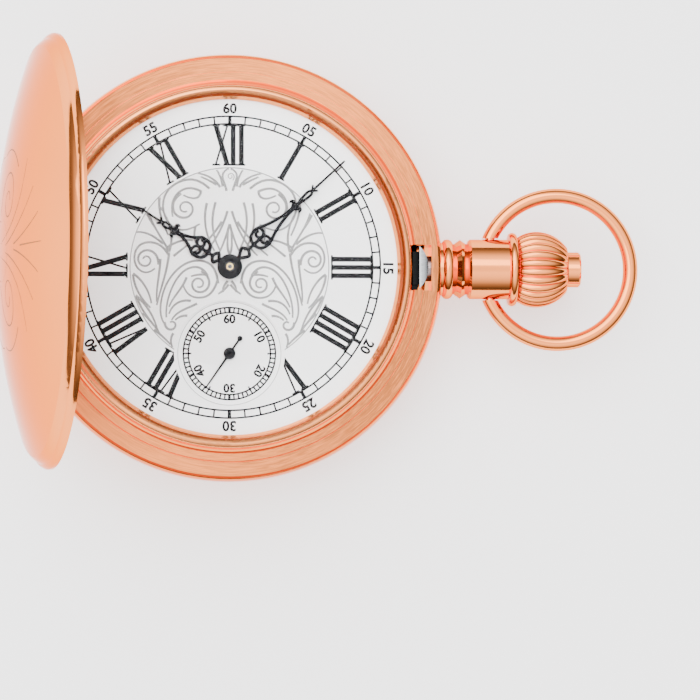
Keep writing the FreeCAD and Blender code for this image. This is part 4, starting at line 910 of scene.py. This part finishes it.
def hand_strokes(neck, heart, lobe, taper, curls, drop, cross, tip):
    """Strokes of a pierced hand pointing to 12 o'clock, from its stations along the length."""
    hub = 1.35
    strokes = []
    shield = neck - 0.5
    for side in both([(0, hub), (0.16, hub + 0.25), (0.62, shield - 0.05), (0.62, shield + 0.12),
                      (0.42, neck - 0.2), (0.0, neck)]):
        strokes.append((side, 0.2, 0.2))
    strokes.append(([(0, neck - 0.08), (0, lobe - 0.1)], 0.2, 0.2))
    wide = 1.12
    for side in both([(0.0, heart), (0.75, heart + 0.02), (wide + 0.06, lobe - 0.35), (wide, lobe + 0.55),
                      (0.62, lobe + 0.32 * (taper - lobe)), (0.2, lobe + 0.72 * (taper - lobe)),
                      (0.05, taper)]):
        strokes.append((side, 0.2, 0.19))
    for side in both([(0.98, lobe + 0.62)] + scroll((0.5, lobe + 0.12), 0.62, 0.3, 75, 330, 9)):
        strokes.append((side, 0.18, 0.17))
    strokes.append(([(0, taper - 0.4), (0, curls + 0.35)], 0.3, 0.26))
    for side in both([(0.0, curls - 0.42), (0.22, curls - 0.3), (0.36, curls + 0.12), (0.6, curls + 0.22),
                      (0.72, curls + 0.0), (0.6, curls - 0.12)]):
        strokes.append((side, 0.18, 0.24))
    for side in both([(0.0, curls + 0.2), (0.1, curls + 0.6), (0.3, drop - 0.62), (0.26, drop - 0.25),
                      (0.0, drop)]):
        strokes.append((side, 0.17, 0.15))
    for side in both([(0.0, drop - 0.05), (0.12, cross - 0.1), (0.3, cross - 0.02), (0.42, cross + 0.22)]):
        strokes.append((side, 0.15, 0.11))
    strokes.append(([(0, drop - 0.1), (0, cross + 0.5), (0, tip)], 0.15, 0.11))
    return strokes


BOLD = 2.0


def ornate_hand(name, stations, place_z, clockwise_deg, body, boss_radius):
    bold = [(points, start * BOLD, end * BOLD) for points, start, end in hand_strokes(*stations)]
    strokes = flattened(drawn(bold, resolution=6, sides=3), 0.45)
    strokes = moved(strokes, (0, 0, 0.07))
    boss = hub_boss(boss_radius, 0.62, 0.13)
    hand = moved(joined([strokes, boss]), (0, 0, place_z), clockwise_deg)
    return settle(smooth(hand, 50), name, BLACK, body, (name.replace("pierced_", ""),))


def hour_hand():
    return ornate_hand("pierced_hour_hand", (2.35, 2.92, 4.05, 6.8, 7.45, 9.2, 9.5, 11.6),
                       hour_low.z / MM, HOUR_DEG, "hours", 1.42)


def minute_hand():
    return ornate_hand("pierced_minute_hand", (2.86, 3.7, 4.85, 9.3, 10.2, 12.8, 13.1, 17.87),
                       minute_low.z / MM, MINUTE_DEG, "minutes", 1.42)


def seconds_hand():
    """Needle with a ball on its short tail."""
    strokes = [([(0, 0.4), (0, 2.5), (0, 4.87)], 0.28, 0.14), ([(0, -0.4), (0, -2.0)], 0.24, 0.22)]
    needle = moved(flattened(drawn(strokes, sides=3), 0.5), (0, 0, 0.06))
    ball = moved(hub_boss(0.3, 0.1, 0.12), (0, -2.09, 0))
    boss = hub_boss(0.68, 0.16, 0.13)
    hand = moved(joined([needle, ball, boss]), clockwise_deg=SECONDS_DEG)
    hand = moved(hand, (0, SECONDS_Y, seconds_low.z / MM))
    return settle(smooth(hand, 50), "seconds_needle", BLACK, "seconds", ("seconds_hand",))


def hub_ring():
    """Fine turned ring in the hub's eye."""
    bpy.ops.mesh.primitive_torus_add(major_radius=0.54 * MM, minor_radius=0.045 * MM, major_segments=64,
                                     minor_segments=10, location=(0, 0, minute_high.z - 0.02 * MM))
    ring = bpy.context.object
    bpy.ops.mesh.primitive_uv_sphere_add(segments=32, ring_count=12, radius=0.26 * MM,
                                         location=(0, 0, minute_high.z - 0.03 * MM))
    cap = bpy.context.object
    bpy.ops.object.mode_set(mode="EDIT")
    bpy.ops.mesh.select_all(action="SELECT")
    bpy.ops.transform.resize(value=(1, 1, 0.3), center_override=tuple(cap.location))
    bpy.ops.object.mode_set(mode="OBJECT")
    return settle(smooth(joined([ring, cap]), 80), "hub_ring", HUB_METAL, "minutes")


# ======================================================================== crown
def onion_crown():
    """Melon-fluted crown: a scalloped ring drawn out along the stem, then turned in at both ends."""
    flutes = 24
    per_flute = 8
    start = crown_low.x / MM
    end = crown_high.x / MM
    full = (crown_high.z - crown_low.z) / 2 / MM
    middle = start + 2.25
    bpy.ops.mesh.primitive_circle_add(vertices=flutes * per_flute, radius=full * MM, fill_type="NOTHING",
                                      location=(0, 0, 0))
    piece = bpy.context.object
    for depth, offsets in ((0.925, (0,)), (0.962, (1, 7)), (0.985, (2, 6)), (0.997, (3, 5))):
        for vertex in piece.data.vertices:
            vertex.select = vertex.index % per_flute in offsets
        for edge in piece.data.edges:
            edge.select = False
        bpy.ops.object.mode_set(mode="EDIT")
        bpy.ops.mesh.select_mode(type="VERT")
        bpy.ops.transform.resize(value=(depth, depth, 1), center_override=(0, 0, 0))
        bpy.ops.mesh.select_all(action="DESELECT")
        bpy.ops.object.mode_set(mode="OBJECT")
    bpy.ops.object.mode_set(mode="EDIT")
    bpy.ops.mesh.select_all(action="SELECT")
    radius_now = full
    x_now = start
    stations = []
    for step in range(13):
        x = start + 0.12 + (end - start - 0.2) * step / 12
        bulge = math.sqrt(max(0.0, full ** 2 - ((x - middle) * (1.06 if x < middle else 0.99)) ** 2))
        stations.append((x, bulge))
    first = stations[0][1] - 0.12
    bpy.ops.transform.resize(value=(first / radius_now, first / radius_now, 1), center_override=(0, 0, 0))
    radius_now = first
    lips = [(end, stations[-1][1] - 0.14), (end - 0.1, button_high.z / MM - STEM_Z + 0.06),
            (end - 1.6, button_high.z / MM - STEM_Z + 0.06), (start + 1.2, 1.2), (start + 1.2, 2.35),
            (start, 2.45)]
    for x, radius in stations + lips:
        bpy.ops.mesh.extrude_edges_move()
        bpy.ops.transform.translate(value=(0, 0, (x - x_now) * MM))
        share = radius / radius_now
        bpy.ops.transform.resize(value=(share, share, 1), center_override=(0, 0, (x - start) * MM))
        x_now = x
        radius_now = radius
    bpy.ops.mesh.select_all(action="SELECT")
    bpy.ops.object.mode_set(mode="OBJECT")
    activate(piece)
    bpy.ops.object.mode_set(mode="EDIT")
    bpy.ops.mesh.select_all(action="DESELECT")
    bpy.ops.mesh.select_non_manifold(extend=False)
    bpy.ops.mesh.bridge_edge_loops()
    bpy.ops.object.mode_set(mode="OBJECT")
    piece.matrix_world = (Matrix.Translation(Vector((start * MM, 0, STEM_Z * MM)))
                          @ Matrix.Rotation(math.pi / 2, 4, "Y"))
    activate(piece)
    bpy.ops.object.transform_apply(location=True, rotation=True, scale=True)
    return settle(smooth(recalculated(piece), 50), "onion_crown", ROSE_POLISHED, "crown_stem",
                  ("crown",))


# ======================================================================== lid engraving
LID_TOP_RISE = 5.5
LID_SPHERE = (22.3 ** 2 + 3.75 ** 2) / 7.5


def lid_flourish_lines():
    """A palmette between two pairs of volutes; its head points to the pendant."""
    half = [
        scroll((5.2, 3.0), 4.4, 0.8, 250, 560),
        scroll((4.6, -6.2), 3.2, 0.7, 110, -540),
        [(0.3, -13.5), (0.8, -9.8), (2.2, -7.0), (3.5, -3.4), (3.2, -1.0)],
        [(0.3, -3.0), (1.0, 2.0), (2.6, 6.4), (5.6, 9.2), (9.2, 9.6)],
        [(0.4, 2.6), (1.2, 6.6), (3.2, 10.4), (6.0, 12.6)],
        [(0.3, 6.5), (0.9, 9.8), (2.0, 12.6), (3.2, 14.6)],
        [(6.4, -9.0), (8.8, -8.4), (10.6, -6.0), (10.4, -3.2)],
        [(8.6, 6.4), (10.8, 4.0), (11.4, 0.8), (10.4, -1.6)],
        [(1.0, -13.0), (3.0, -11.8), (5.4, -11.8), (7.4, -12.8)],
    ]
    lines = []
    for points in half:
        lines += both(points)
    lines.append([(0, 9.0), (0, 12.0), (0, 15.6)])
    lines.append([(0, -14.8), (0, -10.0), (0, -5.0)])
    return lines


LID_OPEN_DEG = 81.0
CROWN_SKIN_R = 3.4
CROWN_SKIN_LIFT = 0.001
ENGRAVED_LIFT = 0.003
ENGRAVED_HEIGHT = 0.3


def lid_dome(x, y):
    """Height of the shut lid's dome over a point of the dial, millimetres."""
    top = JOINTS["lid_hinge"]["pos_m"][2] / MM + 0.1 + LID_TOP_RISE
    return top - LID_SPHERE + math.sqrt(LID_SPHERE ** 2 - x * x - y * y)


def swung_open(piece):
    """Turns a piece drawn on the shut lid open about the hinge."""
    pivot = Matrix.Translation(Vector(JOINTS["lid_hinge"]["pos_m"]))
    swing = Matrix.Rotation(-math.radians(LID_OPEN_DEG), 4, "Y")
    piece.matrix_world = pivot @ swing @ pivot.inverted() @ piece.matrix_world
    return piece


def lid_centre():
    """A thin skin on the crown of the dome, where the lid's mesh meets in one point and shades unevenly."""
    bpy.ops.mesh.primitive_circle_add(vertices=96, radius=CROWN_SKIN_R * MM, fill_type="TRIFAN",
                                      location=(0, 0, 0))
    piece = bpy.context.object
    bpy.ops.object.mode_set(mode="EDIT")
    bpy.ops.mesh.select_all(action="SELECT")
    bpy.ops.mesh.subdivide(number_cuts=7)
    bpy.ops.object.mode_set(mode="OBJECT")
    for vertex in piece.data.vertices:
        vertex.co.z = (lid_dome(vertex.co.x / MM, vertex.co.y / MM) + CROWN_SKIN_LIFT) * MM
    return settle(smooth(swung_open(piece), 60), "lid_centre", ROSE_POLISHED, "lid")


def lid_flourish():
    """Engraved lines on the lid's dome, drawn with the lid shut and turned open with it."""
    strokes = []
    for line in lid_flourish_lines():
        strokes.append(([(y, -x) for x, y in line], 0.20, 0.12))
    engraving = drawn(strokes, resolution=5, sides=1)
    for vertex in engraving.data.vertices:
        x, y, z = vertex.co / MM
        vertex.co.z = (lid_dome(x, y) + min(ENGRAVED_LIFT, ENGRAVED_HEIGHT * z)) * MM
    swung_open(engraving)
    # The engraved lines take the darker rose gold: painted shade of their grooves.
    piece = settle(smooth(engraving, 60), "lid_flourish", ROSE_ENGRAVED_PAINTED_SHADE, "lid")
    outermost = cad_low[0]
    for vertex in piece.data.vertices:
        vertex.co.x = max(vertex.co.x, outermost)
    return piece



# ======================================================================== stage
FLOOR_COLOUR = (0.90, 0.90, 0.90)
FLOOR_GLOW = 1.0
SKY_STRENGTH = 3.2
SKY_STOPS = ((0.22, 0.10), (0.45, 0.30), (0.66, 0.72), (0.85, 1.05), (0.96, 1.15))
SOFT_BOXES = (("key_box", (-0.30, 0.42, 0.85), (0.95, 0.95), 8.0),)
LENS_PLACE = (-22.0, -33.0, 508.0)
LENS_AIM = (13.85, -9.4, 8.0)
SENSOR = 36.0
VIEW_WIDTH = 0.08014


def soft_floor():
    """Plain pale table with an even glow."""
    bpy.ops.mesh.primitive_plane_add(size=6.0, location=(0, 0, -0.0002))
    floor = bpy.context.object
    floor.name = "studio_floor"
    material, tree, shader, place = started("pale_floor", FLOOR_COLOUR, 0.0, 0.8)
    mottle = noise(tree, place, 30.0, 2.0)
    toned(tree, shader, FLOOR_COLOUR, mottle, 0.99, 1.01)
    shader.inputs["Specular IOR Level"].default_value = 0.1
    shader.inputs["Emission Color"].default_value = (1, 1, 1, 1)
    shader.inputs["Emission Strength"].default_value = FLOOR_GLOW
    floor.data.materials.append(material)


def soft_box(name, place, target, size, power):
    bpy.ops.object.light_add(type="AREA", location=place)
    lamp = bpy.context.object
    lamp.name = name
    lamp.data.shape = "RECTANGLE"
    lamp.data.size = size[0]
    lamp.data.size_y = size[1]
    lamp.data.energy = power
    lamp.rotation_mode = "QUATERNION"
    lamp.rotation_quaternion = (Vector(target) - Vector(place)).to_track_quat("-Z", "Y")


def studio():
    """A soft bright tent, brightest overhead."""
    world = bpy.data.worlds.new("studio_world")
    bpy.context.scene.world = world
    world.use_nodes = True
    tree = world.node_tree
    background = tree.nodes["Background"]
    place = tree.nodes.new("ShaderNodeTexCoord").outputs["Generated"]
    parts = tree.nodes.new("ShaderNodeSeparateXYZ")
    tree.links.new(place, parts.inputs[0])
    ramp = tree.nodes.new("ShaderNodeValToRGB")
    tree.links.new(parts.outputs[2], ramp.inputs[0])
    stops = ramp.color_ramp.elements
    stops[0].position = 0.0
    stops[0].color = (0.05, 0.05, 0.05, 1)
    stops[1].position = 1.0
    stops[1].color = (0.85, 0.85, 0.85, 1)
    for position, level in SKY_STOPS:
        stop = stops.new(position)
        stop.color = (level, level, level * 1.01, 1)
    side = maths(tree, "MULTIPLY_ADD", parts.outputs[0], -0.45, 1.0)
    side = maths(tree, "MULTIPLY_ADD", parts.outputs[1], 0.22, side)
    tree.links.new(ramp.outputs[0], background.inputs[0])
    tree.links.new(maths(tree, "MULTIPLY", side, SKY_STRENGTH), background.inputs[1])
    for name, place, size, power in SOFT_BOXES:
        soft_box(name, place, (0, 0, 0.01), size, power)


def camera():
    """Looks down at the dial from a little towards 6 o'clock."""
    aim = Vector(LENS_AIM) * MM
    place = Vector(LENS_PLACE) * MM
    bpy.ops.object.camera_add(location=place)
    eye = bpy.context.object
    eye.data.sensor_width = SENSOR
    eye.data.lens = SENSOR * (aim - place).length / VIEW_WIDTH
    ahead = (aim - place).normalized()
    right = ahead.cross(Vector((0, 1, 0))).normalized()
    above = right.cross(ahead)
    eye.rotation_mode = "QUATERNION"
    eye.rotation_quaternion = Matrix((right, above, -ahead)).transposed().to_quaternion()
    eye.data.clip_start = 0.05
    eye.data.clip_end = 20
    bpy.context.scene.camera = eye


deselect()
finish_frame()
minute_track()
minute_figures()
roman_numerals()
seconds_track()
dial_rims()
dial_relief()
hour_hand()
minute_hand()
seconds_hand()
hub_ring()
onion_crown()
lid_centre()
lid_flourish()
soft_floor()
studio()
camera()
